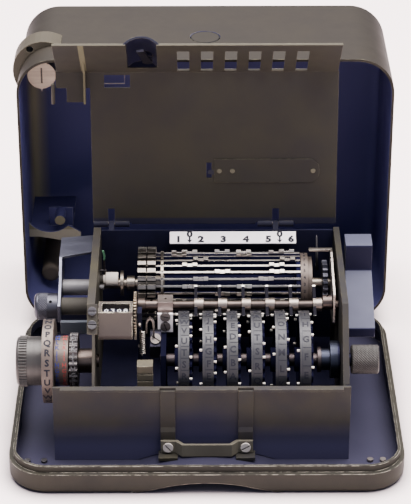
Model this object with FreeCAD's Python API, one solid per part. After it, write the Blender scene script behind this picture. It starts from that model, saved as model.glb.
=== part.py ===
import FreeCAD, Part
import math
import os

from FreeCAD import Rotation, Vector

# Portable rotor cipher machine, standing open: a shallow tray carries the
# mechanism, the deep outer lid stands upright behind it and the inner cover is
# raised over the bar drum and the six key wheels.
# Millimetres.  +X is to the operator's right, +Y is away from the operator,
# +Z is up.  The origin is the centre of the tray's underside.

# ---------------------------------------------------------------- case
CASE_WIDTH = 178.0
CASE_DEPTH = 140.0
CASE_HEIGHT = 83.0
CASE_CORNER = 18.0
SHEET = 1.2
TRAY_FLOOR = 1.5
TRAY_EDGE = 3.0
LEDGE_HEIGHT = 10.2
LIP_HEIGHT = 13.4
LIP_INSET = 2.0
GROOVE_WIDTH = 60.0
GROOVE_RISE = 5.6
LID_EDGE = 6.0
LID_CORNER = 18.0
LID_FLARE = 1.1
LID_SEAT = 0.2
STUD_RADIUS = 1.4
STUD_HEIGHT = 1.2
STUD_SPACING_LEFT = 7.6
STUD_SPACING_RIGHT = 5.8
STUD_ROW_Y = -46.5
STUD_FROM_LEFT_SIDE = 15.2
STUD_FROM_RIGHT_SIDE = 14.8

# ---------------------------------------------------------------- clearances
FIT = 0.05
GAP = 0.3
PIN_FIT = 0.03

# ---------------------------------------------------------------- lid hinge
LID_PIN_RADIUS = 0.8
LID_KNUCKLE_RADIUS = 1.6
LID_KNUCKLE_LENGTH = 14.0
TRAY_KNUCKLE_LENGTH = 7.0
LID_HINGE_X = 50.0
LID_HINGE_Z = 5.0
LID_OPEN_ANGLE = 90.0

# ---------------------------------------------------------------- lid fittings
BUTTON_RADIUS = 7.0
BUTTON_HEIGHT = 27.5
BUTTON_PROUD = 0.0
BUTTON_FLANGE = 1.6
BUTTON_CLEARANCE = 0.45
CANISTER_RADIUS = 6.4
CANISTER_LENGTH = 48.0
CANISTER_CAP = 0.5
CANISTER_CAP_LENGTH = 9.0
CANISTER_SPIGOT_RADIUS = 2.0
SPIGOT_LENGTH = 6.0
CANISTER_INSET = 11.1
CANISTER_DROP = 15.6
COIN_SLOT_LENGTH = 8.0
COIN_SLOT_WIDTH = 0.8
TOOL_TUBE_RADIUS = 4.7
TOOL_TUBE_LENGTH = 40.0
TOOL_TUBE_SPIGOT_RADIUS = 2.4
TOOL_TUBE_INSET = 11.1
TOOL_TUBE_RISE = 12.6
SPOOL_HUB_RADIUS = 2.6
SPOOL_HUB_LENGTH = 9.0
SPOOL_HUB_INSET = 16.8
SPOOL_HUB_RISE = 43.6
CRADLE_DEPTH_IN_LID = 24.0
CRADLE_DISH_RADIUS = 13.0
CRADLE_LENGTH = 26.0
CRADLE_WALL_HEIGHT = 22.0
CRADLE_TIP_HEIGHT = 6.5
CRADLE_BASE_RISE = 31.0
CRADLE_SLOPE = 5.0
CRADLE_RIB_WIDTH = 12.0
LOOP_WIDTH = 13.0
LOOP_RISE = 4.6
LOOP_ABOVE = 17.0
LOOP_BELOW = 19.0
LOOP_EYE_RADIUS = 1.7
LOOP_EYE_SHARE = 0.4
LOOP_FROM_RIM = 17.0
LOOP_STEPS = 16

# ---------------------------------------------------------------- mechanism frame
FRAME_SHEET = 1.2
FRAME_LEFT = -51.4
FRAME_RIGHT = 62.3
FRAME_FRONT = -45.0
FRAME_REAR = 52.7
FLANGE_WIDTH_LEFT = 2.3
FLANGE_WIDTH_RIGHT = 1.6
LEFT_TAB_RIGHT = -49.0
LEFT_TAB_FOOT = 58.4
FRONT_PLATE_LEFT = -69.0
FRONT_PLATE_RIGHT = 64.5
FRONT_PLATE_TOP = 40.0
LIP_END_MARGIN = 3.4
DECK_HEIGHT = 8.8
SHOULDER_Y = -21.0
STRAP_WIDTH = 6.6
STRAP_X = 17.5
STRAP_SHEET = 1.2
STRAP_STEP_HEIGHT = 17.8
STRAP_STEP = 1.0
CATCH_BAR_HEIGHT = 6.2
CATCH_BAR_Z = 10.6
CATCH_BAR_BOW = 4.4
CATCH_BAR_SHEET = 1.2
CATCH_BAR_BEND = 3.0
BAR_SCREW_TURNS = (50, -30)
BAR_SCREW_RADIUS = 2.3
SCREW_HEAD = 1.0
SCREW_SLOT = 0.6
SCREW_SLOT_DEPTH = 0.5
FLANGE_SCREW_RADIUS = 2.0
FLANGE_SCREW_PLACES = (3.4, 9.6)
FOOT_LENGTH = 5.0
FOOT_FLARE = 1.0
FOOT_HEIGHT = 1.6
FRONT_BEAD = 2.0

# ---------------------------------------------------------------- inner cover
COVER_SHEET = 1.0
COVER_HINGE_Y = 55.0
COVER_HINGE_Z = 70.2
COVER_OPEN_ANGLE = 95.0
COVER_PANEL = 77.0
COVER_BEVEL = 37.0
COVER_BEVEL_ANGLE = 52.5
COVER_LEFT = -54.0
COVER_RIGHT = 62.3
BEVEL_LEFT = -69.4
WING_LEFT = -65.0
WING_DEPTH = 15.0
STEP_LEFT = -70.0
STEP_DEPTH = 8.0
WEB_LENGTH = 20.0
WEB_DROP = 3.0
WEB_CLEARANCE = 2.3
BEVEL_RIGHT = 61.8
COVER_PIN_RADIUS = 0.9
COVER_KNUCKLE_RADIUS = 1.6
COVER_KNUCKLE_LENGTH = 7.0
COVER_LUG_WIDTH = 2.6
COVER_LUG_ROOT = 8.0
COVER_LUG_NOSE = 2.0
COVER_LUG_LEFT_X = -45.2
COVER_LUG_RIGHT_X = 33.5
COVER_NOTCH = 8.0
WINDOW_WIDTH = 5.6
WINDOW_START = 2.0
WINDOW_END = 29.0
COUNTER_WINDOW_LEFT = -47.4
COUNTER_WINDOW_RIGHT = -35.3
COUNTER_WINDOW_NEAR = 75.4
COUNTER_WINDOW_FAR = 69.0
HOOD_X = -29.2
HOOD_WIDTH = 16.0
HOOD_RISE = 3.6
HOOD_END = 5.0
LATCH_X = -26.6
LATCH_ALONG = 18.0
LATCH_BOSS_RADIUS = 2.4
LATCH_PIN_RADIUS = 1.4
LATCH_PIN_PROUD = 1.4
LATCH_KNOB_RADIUS = 5.0
LATCH_KNOB_HEIGHT = 2.0
LATCH_ARM_LENGTH = 15.0
LATCH_ARM_WIDTH = 3.4
LATCH_ARM_SHEET = 1.1
LATCH_REST_TURN = 12.0
SPRING_SHEET = 0.5
SPRING_ALONG = 27.5
SPRING_WIDTH = 12.0
SPRING_LEFT = 4.0
SPRING_RIGHT = 54.0
RIVETS_FROM_END = (2.5, 8.7)
SPRING_SCREW_FROM_END = 3.0
RIVET_RADIUS = 1.1
RIVET_HEAD = 0.5
SLOT_X = 1.6
SLOT_LENGTH = 8.0
SLOT_WIDTH = 2.4

# ---------------------------------------------------------------- key wheels
WHEEL_AXIS_Y = -16.0
WHEEL_AXIS_Z = 36.9
WHEEL_RADIUS = 22.4
WHEEL_WIDTH = 5.0
WHEEL_PITCH = 10.96
WHEEL_FIRST_X = -10.3
WHEEL_LETTER_COUNTS = (26, 25, 23, 21, 19, 17)
WHEEL_RIM = 3.2
WHEEL_WEB = 2.0
WHEEL_HUB_RADIUS = 5.5
WHEEL_HUB_LENGTH = 8.4
WHEEL_GEAR_RADIUS = 17.4
WHEEL_GEAR_TOOTH = 1.6
WHEEL_GEAR_SHEET = 1.2
WHEEL_PIN_RADIUS = 0.6
WHEEL_PIN_CIRCLE = 20.8
WHEEL_PIN_PROUD = 1.3
WHEEL_SHAFT_RADIUS = 3.0
WHEEL_SHAFT_FLANGE = 8.6
WHEEL_SHAFT_SLEEVE = 5.0
WHEEL_SHAFT_COLLAR = 5.8
KEY_FLANGE_WIDTH = 4.6
KEY_SLEEVE_LENGTH = 5.7
KEY_COLLAR_LENGTH = 1.6
RESET_KNOB_RADIUS = 6.8
RESET_KNOB_LENGTH = 12.6
RESET_KNOB_CHAMFER = 0.8
RESET_KNOB_RIDGES = 44
RESET_KNURL_DEPTH = 0.3
RESET_KNOB_FACE = 66.3

# ---------------------------------------------------------------- bar drum
DRUM_AXIS_Y = 30.0
DRUM_AXIS_Z = 51.4
DRUM_SHAFT_RADIUS = 2.5
DRUM_CORE_RADIUS = 5.0
BAR_COUNT = 27
BAR_RADIUS = 14.6
BAR_DEPTH = 3.0
BAR_THICKNESS = 0.9
BAR_LEFT = -32.0
BAR_RIGHT = 44.3
TOOTH_RADIUS = 17.2
TOOTH_WIDTH = 2.1
TOOTH_LENGTH = 3.9
TOOTH_SPACE = 0.6
DISC_LEFT_RADIUS = 15.2
DISC_RIGHT_RADIUS = 14.0
DISC_SHEET = 2.0
DISC_LEFT_SHEET = 1.2
DISC_LEFT_X = -21.2
LUG_LENGTH = 7.0
LUG_WIDTH = 1.7
LUG_BASE = 0.5
LUG_BUMP = 0.8
LUG_BUMP_LENGTH = 2.2
LUG_COLUMN_OFFSET = -2.4
LUG_COLUMN_PITCH = 0.93 * WHEEL_PITCH
NUMBER_RING_RADIUS = 14.2
NUMBER_RING_X = 44.5
NUMBER_RING_WIDTH = 3.4
RING_FLANGE_RADIUS = 12.4
RING_FLANGE_WIDTH = 2.0
SPINDLE_DISC_RADIUS = 6.0
SPINDLE_DISC_X = -40.4
SPINDLE_DISC_SHEET = 1.4
SPINDLE_HUB_RADIUS = 3.6
SPINDLE_HUB_X = -37.4
SPINDLE_HUB_LENGTH = 3.7
RATCHET_RADIUS = 10.8
RATCHET_TOOTH = 1.5
RATCHET_X = 55.0
RATCHET_WIDTH = 2.3
RATCHET_TEETH = 20
BOSS_RADIUS = 3.4
BOSS_NECK_RADIUS = 2.6
BOSS_RAISE = 2.2
BOSS_LEFT = -47.4
BOSS_RIGHT = -41.6
HANDLE_FACE = 66.0
HANDLE_THICKNESS = 12.5
HANDLE_BORE_END = 1.5
HANDLE_ROUND = 1.4
HANDLE_GRIP_TOP = 70.5
HANDLE_GRIP_BACK = 44.3
HANDLE_GRIP_FRONT = 32.2
HANDLE_STEP_Z = 56.9
HANDLE_TIP_Y = 2.0
HANDLE_TIP_TOP = 42.6
HANDLE_TIP_BOTTOM = 37.6
HANDLE_TIP_LENGTH = 10.0
HANDLE_BELLY = ((30.0, 43.4), (38.6, 47.6), (44.3, 56.0))

# ---------------------------------------------------------------- guide arms
ARM_AXIS_Y = 3.0
ARM_AXIS_Z = 55.0
ARM_SHAFT_RADIUS = 2.0
ARM_SHAFT_LEFT = -31.5
ARM_HUB_RADIUS = 3.2
ARM_HUB_LENGTH = 4.2
ARM_SHEET = 1.4
ARM_OUTLINE = ((-1.6, 2.6), (7.4, 6.2), (11.0, 3.8), (10.2, 1.8), (3.0, -2.0), (-4.0, -2.6), (-8.6, -2.2),
               (-9.0, -0.6), (-3.4, 0.6))
ARM_COLLAR_RADIUS = 3.3
ARM_COLLAR_LENGTH = 3.2
ARM_THICK_RADIUS = 2.5
ARM_BEARING_RADIUS = 3.5
ARM_BEARING_RAISE = 1.2
ARM_BEARING_LEFT = 53.8
ARM_BEARING_RIGHT = 58.0
CHEEK_X = 58.5
CHEEK_SHEET = 1.0
CHEEK_TOP = 68.5
CHEEK_LIP_LEFT = 48.6
CHEEK_LIP_WIDTH = 1.8
BLOCK_LEFT = -22.4
BLOCK_RIGHT = -15.4
BLOCK_SIZE = 7.0
DIMPLE_RADIUS = 0.7
BLOCK_OVERHANG = 1.5
BEARING_SHEET = 2.5
BEARING_FOOT_REACH = 15.0
BEARING_HEAD_REACH = 8.0
RETAINER_HEIGHT = 9.6
RETAINER_DROP = 6.1
CLAMP_TOP = 46.3
CLAMP_HEIGHT = 11.0
CLAMP_WIDTH = 5.0
CLAMP_ROUND = 5.0
CLAMP_SCREW_RADIUS = 2.4
RETAINER_SCREW_RADIUS = 2.35
RETAINER_SCREWS = (3.6, -1.6)
RETAINER_SCREW_TURNS = (12, 70)
CLAMP_SCREW_TURN = 35

# ---------------------------------------------------------------- scale strip
STRIP_LEFT = -17.2
STRIP_RIGHT = 43.1
STRIP_SHEET = 0.7
STRIP_FRONT_Y = 44.9
STRIP_FRONT_Z = 64.8
STRIP_WIDTH = 7.2
STRIP_LEDGE = 0.8
SHELF_SHEET = 0.9
SHELF_INSET = 3.0
SHELF_LEG = 8.0
STRIP_TILT = 33.0

# ---------------------------------------------------------------- counter
COUNTER_RIGHT = -33.4
COUNTER_TOP = 66.3
COUNTER_LEFT = -48.7
COUNTER_BACK = -13.3
COUNTER_BROW = -23.3
COUNTER_FRONT = -26.3
COUNTER_CHIN = 3.2
COUNTER_BOTTOM = 52.6
COUNTER_LUG_WIDTH = 5.0
COUNTER_LUG_HEIGHT = 3.5
COUNTER_SHEET = 0.8
DIGIT_AXIS_Y = -19.0
DIGIT_AXIS_Z = 60.3
DIGIT_RADIUS = 4.6
DIGIT_WIDTH = 2.6
DIGIT_PITCH = 2.9
DIGIT_FIRST_X = -45.2
DIGIT_COUNT = 4
DIGIT_PIN_RADIUS = 1.0
DIGIT_OPENING_BACK = -14.9
DIGIT_OPENING_FRONT = -22.6
DIGIT_OPENING_MARGIN = 0.6
COUNTER_GEAR_RADIUS = 11.0
COUNTER_GEAR_TEETH = 44
COUNTER_GEAR_TOOTH = 1.0
COUNTER_GEAR_SHEET = 1.2
COUNTER_GEAR_Y = -8.0
COUNTER_GEAR_Z = 55.7
COUNTER_GEAR_X = -32.5
COUNTER_SHAFT_RADIUS = 1.4
COUNTER_POST_HALF = 3.0
COUNTER_POST_SHEET = 2.0

# ---------------------------------------------------------------- left side unit
SET_AXIS_Y = -20.0
SET_AXIS_Z = 39.0
SET_SHAFT_RADIUS = 3.0
SET_SLEEVE_RADIUS = 5.6
SET_KNOB_RADIUS = 11.2
SET_RIM_RADIUS = 11.7
SET_KNOB_FACE = -86.4
SET_RIM_WIDTH = 5.4
SET_RIM_ROUND = 1.4
SET_RIM_RIDGES = 50
SET_SHAFT_START = 3.0
KNURL_DEPTH = 0.5
LETTER_RING_LEFT = -74.1
LETTER_RING_RIGHT = -69.1
LETTER_RING_RADIUS = 19.2
PRINT_DISC_RADIUS = 11.4
PRINT_DISC_LEFT = -69.0
PRINT_DISC_RIGHT = -62.7
TYPE_WHEEL_RADIUS = 12.8
TYPE_WHEEL_LEFT = -62.1
TYPE_WHEEL_RIGHT = -58.4
TYPE_DEPTH = 0.6
LETTER_COUNT = 26
FEED_AXIS_Y = 12.0
FEED_AXIS_Z = 49.3
FEED_ROLLER_RADIUS = 4.1
FEED_ROLLER_LEFT = -67.5
FEED_ROLLER_RIGHT = -55.0
FEED_KNOB_RADIUS = 6.1
FEED_KNOB_LEFT = -80.0
FEED_SHAFT_RADIUS = 1.5
FEED_BORE_START = 4.0
FEED_KNOB_ROUND = 1.6
FEED_HOLE_TILT = 50.0
FEED_HOLE_FROM_FACE = 7.6
PRESS_AXIS_Y = 24.2
PRESS_AXIS_Z = 52.6
PRESS_ROLLER_RADIUS = 3.8
PRESS_ROLLER_LEFT = -67.5
PRESS_ROLLER_RIGHT = -55.0
PRESS_SHAFT_RADIUS = 1.2
BRACKET_LEFT = -69.0
BRACKET_TOP = 66.2
BRACKET_REAR = 48.5
BRACKET_SHOULDER = 29.0
BRACKET_SKEW_REAR = 2.7
BRACKET_SKEW_FRONT = 6.6
BRACKET_NECK_Y = 18.4
BRACKET_NECK_Z = 57.0
BRACKET_TIP_Y = 5.6
BRACKET_TIP_TOP = 53.0
BRACKET_TIP_BOTTOM = 44.4
BRACKET_REAR_BOTTOM = 52.0
TAPE_GUIDE_Y = 3.6
TAPE_GUIDE_TOP = 45.5
TAPE_GUIDE_HEIGHT = 6.2
CATCH_BLOCK_X = -31.3
CATCH_BLOCK_WIDTH = 7.1
CATCH_BLOCK_Y = -36.0
CATCH_BLOCK_DEPTH = 6.0
CATCH_BLOCK_TOP = 45.5
CATCH_BLOCK_GROOVES = (4.0, 7.6)
CATCH_GROOVE = 0.6

# ---------------------------------------------------------------- worked out
HALF_WIDTH = CASE_WIDTH / 2
HALF_DEPTH = CASE_DEPTH / 2
GROOVE_RADIUS = ((GROOVE_WIDTH / 2) ** 2 + GROOVE_RISE ** 2) / (2 * GROOVE_RISE)
GROOVE_AXIS_Z = GROOVE_RISE - GROOVE_RADIUS
LID_HALF_WIDTH = HALF_WIDTH + LID_FLARE
LID_HALF_DEPTH = HALF_DEPTH + LID_FLARE
LID_HINGE_Y = LID_HALF_DEPTH - SHEET / 2
LID_RIM = LEDGE_HEIGHT + LID_SEAT
LID_RIM_Y = LID_HINGE_Y + LID_RIM - LID_HINGE_Z
LID_FLOOR_Z = LID_HINGE_Z - SHEET / 2
LID_BACK_Y = LID_RIM_Y + CASE_HEIGHT - LID_RIM
LID_TOP_Z = LID_FLOOR_Z + 2 * LID_HALF_DEPTH
CANISTER_X = -LID_HALF_WIDTH + CANISTER_INSET
CANISTER_Z = LID_TOP_Z - CANISTER_DROP
TOOL_TUBE_X = -LID_HALF_WIDTH + TOOL_TUBE_INSET
TOOL_TUBE_Z = LID_FLOOR_Z + TOOL_TUBE_RISE
SPOOL_HUB_X = -LID_HALF_WIDTH + SPOOL_HUB_INSET
SPOOL_HUB_Z = LID_FLOOR_Z + SPOOL_HUB_RISE
CRADLE_BASE_Z = LID_FLOOR_Z + CRADLE_BASE_RISE
COVER_UNDERSIDE = COVER_HINGE_Z - COVER_SHEET / 2
SIDE_TOP = COVER_UNDERSIDE - GAP
WHEEL_X = [WHEEL_FIRST_X + WHEEL_PITCH * i for i in range(len(WHEEL_LETTER_COUNTS))]
ARM_X = [x + WHEEL_PITCH / 2 for x in WHEEL_X]
DISC_RIGHT_X = BAR_RIGHT - DISC_SHEET
SLOPE_ANGLE = math.degrees(math.atan2(SIDE_TOP - FRONT_PLATE_TOP, SHOULDER_Y - FRAME_FRONT))
PLATE_FACE = FRAME_FRONT - STRAP_SHEET

EXTENT = 400.0


# ================================================================ shape helpers
def box(x0, y0, z0, x1, y1, z1):
    return Part.makeBox(x1 - x0, y1 - y0, z1 - z0, Vector(x0, y0, z0))


def cylinder_x(radius, x0, x1, y, z):
    return Part.makeCylinder(radius, x1 - x0, Vector(x0, y, z), Vector(1, 0, 0))


def cylinder_y(radius, y0, y1, x, z):
    return Part.makeCylinder(radius, y1 - y0, Vector(x, y0, z), Vector(0, 1, 0))


def cylinder_z(radius, z0, z1, x, y):
    return Part.makeCylinder(radius, z1 - z0, Vector(x, y, z0), Vector(0, 0, 1))


def ring_x(outer, inner, x0, x1, y, z):
    return cylinder_x(outer, x0, x1, y, z).cut(cylinder_x(inner, x0 - 1, x1 + 1, y, z))


def prism_x(points, x0, x1):
    """Closed outline of (y, z) points, extruded along X."""
    wire = Part.makePolygon([Vector(x0, y, z) for y, z in points + points[:1]])
    return Part.Face(wire).extrude(Vector(x1 - x0, 0, 0))


def prism_y(points, y0, y1):
    """Closed outline of (x, z) points, extruded along Y."""
    wire = Part.makePolygon([Vector(x, y0, z) for x, z in points + points[:1]])
    return Part.Face(wire).extrude(Vector(0, y1 - y0, 0))


def prism_z(points, z0, z1):
    """Closed outline of (x, y) points, extruded along Z."""
    wire = Part.makePolygon([Vector(x, y, z0) for x, y in points + points[:1]])
    return Part.Face(wire).extrude(Vector(0, 0, z1 - z0))


def slab_x(start, along, angle, thickness, x0, x1):
    """Sheet that runs along a slope from its start point, thickness below it."""
    a = math.radians(angle)
    step = (along * math.cos(a), along * math.sin(a))
    drop = (thickness * math.sin(a), -thickness * math.cos(a))
    corners = [start, (start[0] + step[0], start[1] + step[1])]
    corners += [(y + drop[0], z + drop[1]) for y, z in reversed(corners)]
    return prism_x(corners, x0, x1)


def rounded_block(inset, z0, z1):
    """Block with the case's plan, brought in by an inset all round."""
    block = box(-HALF_WIDTH + inset, -HALF_DEPTH + inset, z0, HALF_WIDTH - inset, HALF_DEPTH - inset, z1)
    return block.makeFillet(CASE_CORNER - inset, upright_edges(block))


def lid_block(inset, z0, z1):
    """Block with the closed lid's plan, brought in by an inset all round."""
    x = LID_HALF_WIDTH - inset
    y = LID_HALF_DEPTH - inset
    block = box(-x, -y, z0, x, y, z1)
    return block.makeFillet(LID_CORNER - inset, upright_edges(block))


def upright_edges(shape):
    return [e for e in shape.Edges if abs(e.Vertexes[0].Z - e.Vertexes[-1].Z) > FIT]


def level_edges(shape, height):
    return [e for e in shape.Edges if all(abs(v.Z - height) < FIT for v in e.Vertexes)]


def toothed_disc_x(teeth, tip, root, x0, x1, y, z):
    """Gear blank with plain trapezoid teeth."""
    points = []
    for i in range(teeth):
        for share, radius in ((0.0, root), (0.25, tip), (0.5, tip), (0.75, root)):
            a = 2 * math.pi * (i + share) / teeth
            points.append((y + radius * math.cos(a), z + radius * math.sin(a)))
    return prism_x(points, x0, x1)


def turned(shape, y, z, degrees):
    """Copy turned about an axis along X."""
    copy = shape.copy()
    copy.rotate(Vector(0, y, z), Vector(1, 0, 0), degrees)
    return copy


def slotted_head_y(radius, x, y_face, z, degrees):
    """Cheese head that stands towards the operator, with its slot turned."""
    head = cylinder_y(radius, y_face - SCREW_HEAD, y_face, x, z)
    slot = box(x - radius, y_face - SCREW_HEAD, z - SCREW_SLOT / 2,
               x + radius, y_face - SCREW_HEAD + SCREW_SLOT_DEPTH, z + SCREW_SLOT / 2)
    slot.rotate(Vector(x, y_face, z), Vector(0, 1, 0), degrees)
    return head.cut(slot)


def write(name, *solids):
    shape = solids[0] if len(solids) == 1 else Part.makeCompound(list(solids))
    shape.exportStep("parts/" + name + ".step")


# ================================================================ case
def groove_cutter(clearance):
    return cylinder_y(GROOVE_RADIUS + clearance, -HALF_DEPTH - 1, HALF_DEPTH + 1, 0, GROOVE_AXIS_Z)


def hinge_x_positions():
    return (-LID_HINGE_X, LID_HINGE_X)


def tray_knuckle_spans(x):
    half = LID_KNUCKLE_LENGTH / 2 + GAP
    return ((x - half - TRAY_KNUCKLE_LENGTH, x - half), (x + half, x + half + TRAY_KNUCKLE_LENGTH))


def base_tray():
    skirt = rounded_block(0, 0, LEDGE_HEIGHT)
    skirt = skirt.makeFillet(TRAY_EDGE, level_edges(skirt, 0))
    tray = skirt.fuse(rounded_block(LIP_INSET, LEDGE_HEIGHT - SHEET, LIP_HEIGHT))
    cavity = rounded_block(SHEET, TRAY_FLOOR, LEDGE_HEIGHT - SHEET)
    mouth = rounded_block(LIP_INSET + SHEET, LEDGE_HEIGHT - 2 * SHEET, LIP_HEIGHT + 1)
    tray = tray.cut(cavity.fuse(mouth))
    hump = groove_cutter(TRAY_FLOOR).common(rounded_block(SHEET, 0, LEDGE_HEIGHT))
    tray = tray.fuse(hump).cut(groove_cutter(0))
    for x in hinge_x_positions():
        spans = tray_knuckle_spans(x)
        notch = box(spans[0][0], HALF_DEPTH - LIP_INSET, TRAY_FLOOR + GAP,
                    spans[1][1], HALF_DEPTH + 1, LEDGE_HEIGHT + 1)
        tray = tray.cut(notch)
        for x0, x1 in spans:
            knuckle = cylinder_x(LID_KNUCKLE_RADIUS, x0, x1, LID_HINGE_Y, LID_HINGE_Z)
            foot = box(x0, HALF_DEPTH - LIP_INSET, TRAY_FLOOR - GAP, x1, LID_HINGE_Y + SHEET / 2, LID_HINGE_Z)
            tray = tray.fuse(knuckle.fuse(foot))
        bore = cylinder_x(LID_PIN_RADIUS + PIN_FIT, spans[0][0] - 1, spans[1][1] + 1, LID_HINGE_Y, LID_HINGE_Z)
        tray = tray.cut(bore)
    return tray.removeSplitter()


def tray_studs():
    left = STUD_FROM_LEFT_SIDE - HALF_WIDTH
    right = HALF_WIDTH - STUD_FROM_RIGHT_SIDE
    places = [left, left - STUD_SPACING_LEFT, right, right + STUD_SPACING_RIGHT]
    return [cylinder_z(STUD_RADIUS, TRAY_FLOOR, TRAY_FLOOR + STUD_HEIGHT, x, STUD_ROW_Y) for x in places]


def hinge_pins():
    pins = []
    for x in hinge_x_positions():
        spans = tray_knuckle_spans(x)
        pins.append(cylinder_x(LID_PIN_RADIUS, spans[0][0], spans[1][1], LID_HINGE_Y, LID_HINGE_Z))
    for x in (COVER_LUG_LEFT_X, COVER_LUG_RIGHT_X):
        reach = COVER_LUG_WIDTH / 2 + GAP + COVER_KNUCKLE_LENGTH
        pins.append(cylinder_x(COVER_PIN_RADIUS, x - reach, x + reach, COVER_HINGE_Y, COVER_HINGE_Z))
    return pins


def opened_lid(shape):
    """Carry a shape from the closed lid's place to the open lid's."""
    return turned(shape, LID_HINGE_Y, LID_HINGE_Z, -LID_OPEN_ANGLE)


def outer_lid():
    shell = lid_block(0, LID_RIM, CASE_HEIGHT)
    shell = shell.makeFillet(LID_EDGE, level_edges(shell, CASE_HEIGHT))
    hollow = lid_block(SHEET, LID_RIM - 1, CASE_HEIGHT - SHEET)
    hollow = hollow.makeFillet(LID_EDGE - SHEET, level_edges(hollow, CASE_HEIGHT - SHEET))
    lid = shell.cut(hollow)
    for x in hinge_x_positions():
        half = LID_KNUCKLE_LENGTH / 2
        leaf = box(x - half, LID_HINGE_Y - SHEET / 2, LID_HINGE_Z, x + half, LID_HINGE_Y + SHEET / 2, LID_RIM)
        knuckle = cylinder_x(LID_KNUCKLE_RADIUS, x - half, x + half, LID_HINGE_Y, LID_HINGE_Z)
        bore = cylinder_x(LID_PIN_RADIUS + FIT, x - half - 1, x + half + 1, LID_HINGE_Y, LID_HINGE_Z)
        lid = lid.fuse(leaf.fuse(knuckle)).cut(bore)
    hole = cylinder_y(BUTTON_RADIUS + BUTTON_CLEARANCE, -LID_HALF_DEPTH - 1, -LID_HALF_DEPTH + SHEET + 1,
                      0, LID_RIM + BUTTON_HEIGHT)
    return opened_lid(lid.cut(hole).removeSplitter())


def lid_latch_button():
    z = LID_RIM + BUTTON_HEIGHT
    inside = -LID_HALF_DEPTH + SHEET + GAP
    face = cylinder_y(BUTTON_RADIUS, -LID_HALF_DEPTH - BUTTON_PROUD, inside, 0, z)
    flange = cylinder_y(BUTTON_RADIUS + BUTTON_FLANGE, inside, inside + SHEET, 0, z)
    return opened_lid(face.fuse(flange))


def lid_outline_point(along, out):
    """Point (x, z) at a distance out from the open lid, along its outline from its left top corner."""
    centre_x = -LID_HALF_WIDTH + LID_CORNER
    centre_z = LID_TOP_Z - LID_CORNER
    quarter = LID_CORNER * math.pi / 4
    reach = LID_CORNER + out
    if along > quarter:
        return (-LID_HALF_WIDTH - out, centre_z - (along - quarter))
    if along < -quarter:
        return (centre_x - (along + quarter), LID_TOP_Z + out)
    a = math.radians(135) + along / LID_CORNER
    return (centre_x + reach * math.cos(a), centre_z + reach * math.sin(a))


def lid_strap_loop():
    """Eyed lug for the carrying strap, curved round the lid's left top corner."""
    steps = LOOP_STEPS
    span = LOOP_ABOVE + LOOP_BELOW
    outer = []
    inner = []
    for i in range(steps + 1):
        along = -LOOP_ABOVE + span * i / steps
        outer.append(lid_outline_point(along, LOOP_RISE * math.sin(math.pi * i / steps)))
        inner.append(lid_outline_point(along, FIT))
    front = LID_RIM_Y + LOOP_FROM_RIM
    lug = prism_y(outer + inner[-2:0:-1], front, front + LOOP_WIDTH)
    rise = LOOP_RISE * math.sin(math.pi * LOOP_EYE_SHARE)
    x, z = lid_outline_point(-LOOP_ABOVE + span * LOOP_EYE_SHARE, rise / 2)
    return lug.cut(cylinder_y(LOOP_EYE_RADIUS, front - 1, front + LOOP_WIDTH + 1, x, z))


def lid_canister():
    """Capped can that lies along the lid's depth on a spigot from its back."""
    back = LID_BACK_Y - SHEET
    heel = back - SPIGOT_LENGTH
    face = heel - CANISTER_LENGTH
    spigot = cylinder_y(CANISTER_SPIGOT_RADIUS, heel, back, CANISTER_X, CANISTER_Z)
    body = cylinder_y(CANISTER_RADIUS, face, heel, CANISTER_X, CANISTER_Z)
    cap = cylinder_y(CANISTER_RADIUS + CANISTER_CAP, face, face + CANISTER_CAP_LENGTH, CANISTER_X, CANISTER_Z)
    half = COIN_SLOT_WIDTH / 2
    reach = COIN_SLOT_LENGTH / 2
    slot = box(CANISTER_X - half, face - 1, CANISTER_Z - reach,
               CANISTER_X + half, face + half, CANISTER_Z + reach)
    return body.fuse([cap, spigot]).cut(slot)


def lid_tool_tube():
    back = LID_BACK_Y - SHEET
    heel = back - SPIGOT_LENGTH
    face = heel - TOOL_TUBE_LENGTH
    tube = cylinder_y(TOOL_TUBE_RADIUS, face, heel, TOOL_TUBE_X, TOOL_TUBE_Z)
    rims = [e for e in tube.Edges if all(abs(v.Y - face) < FIT for v in e.Vertexes)]
    tube = tube.makeFillet(TOOL_TUBE_RADIUS / 3, rims[:1])
    return tube.fuse(cylinder_y(TOOL_TUBE_SPIGOT_RADIUS, heel, back, TOOL_TUBE_X, TOOL_TUBE_Z))


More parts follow.
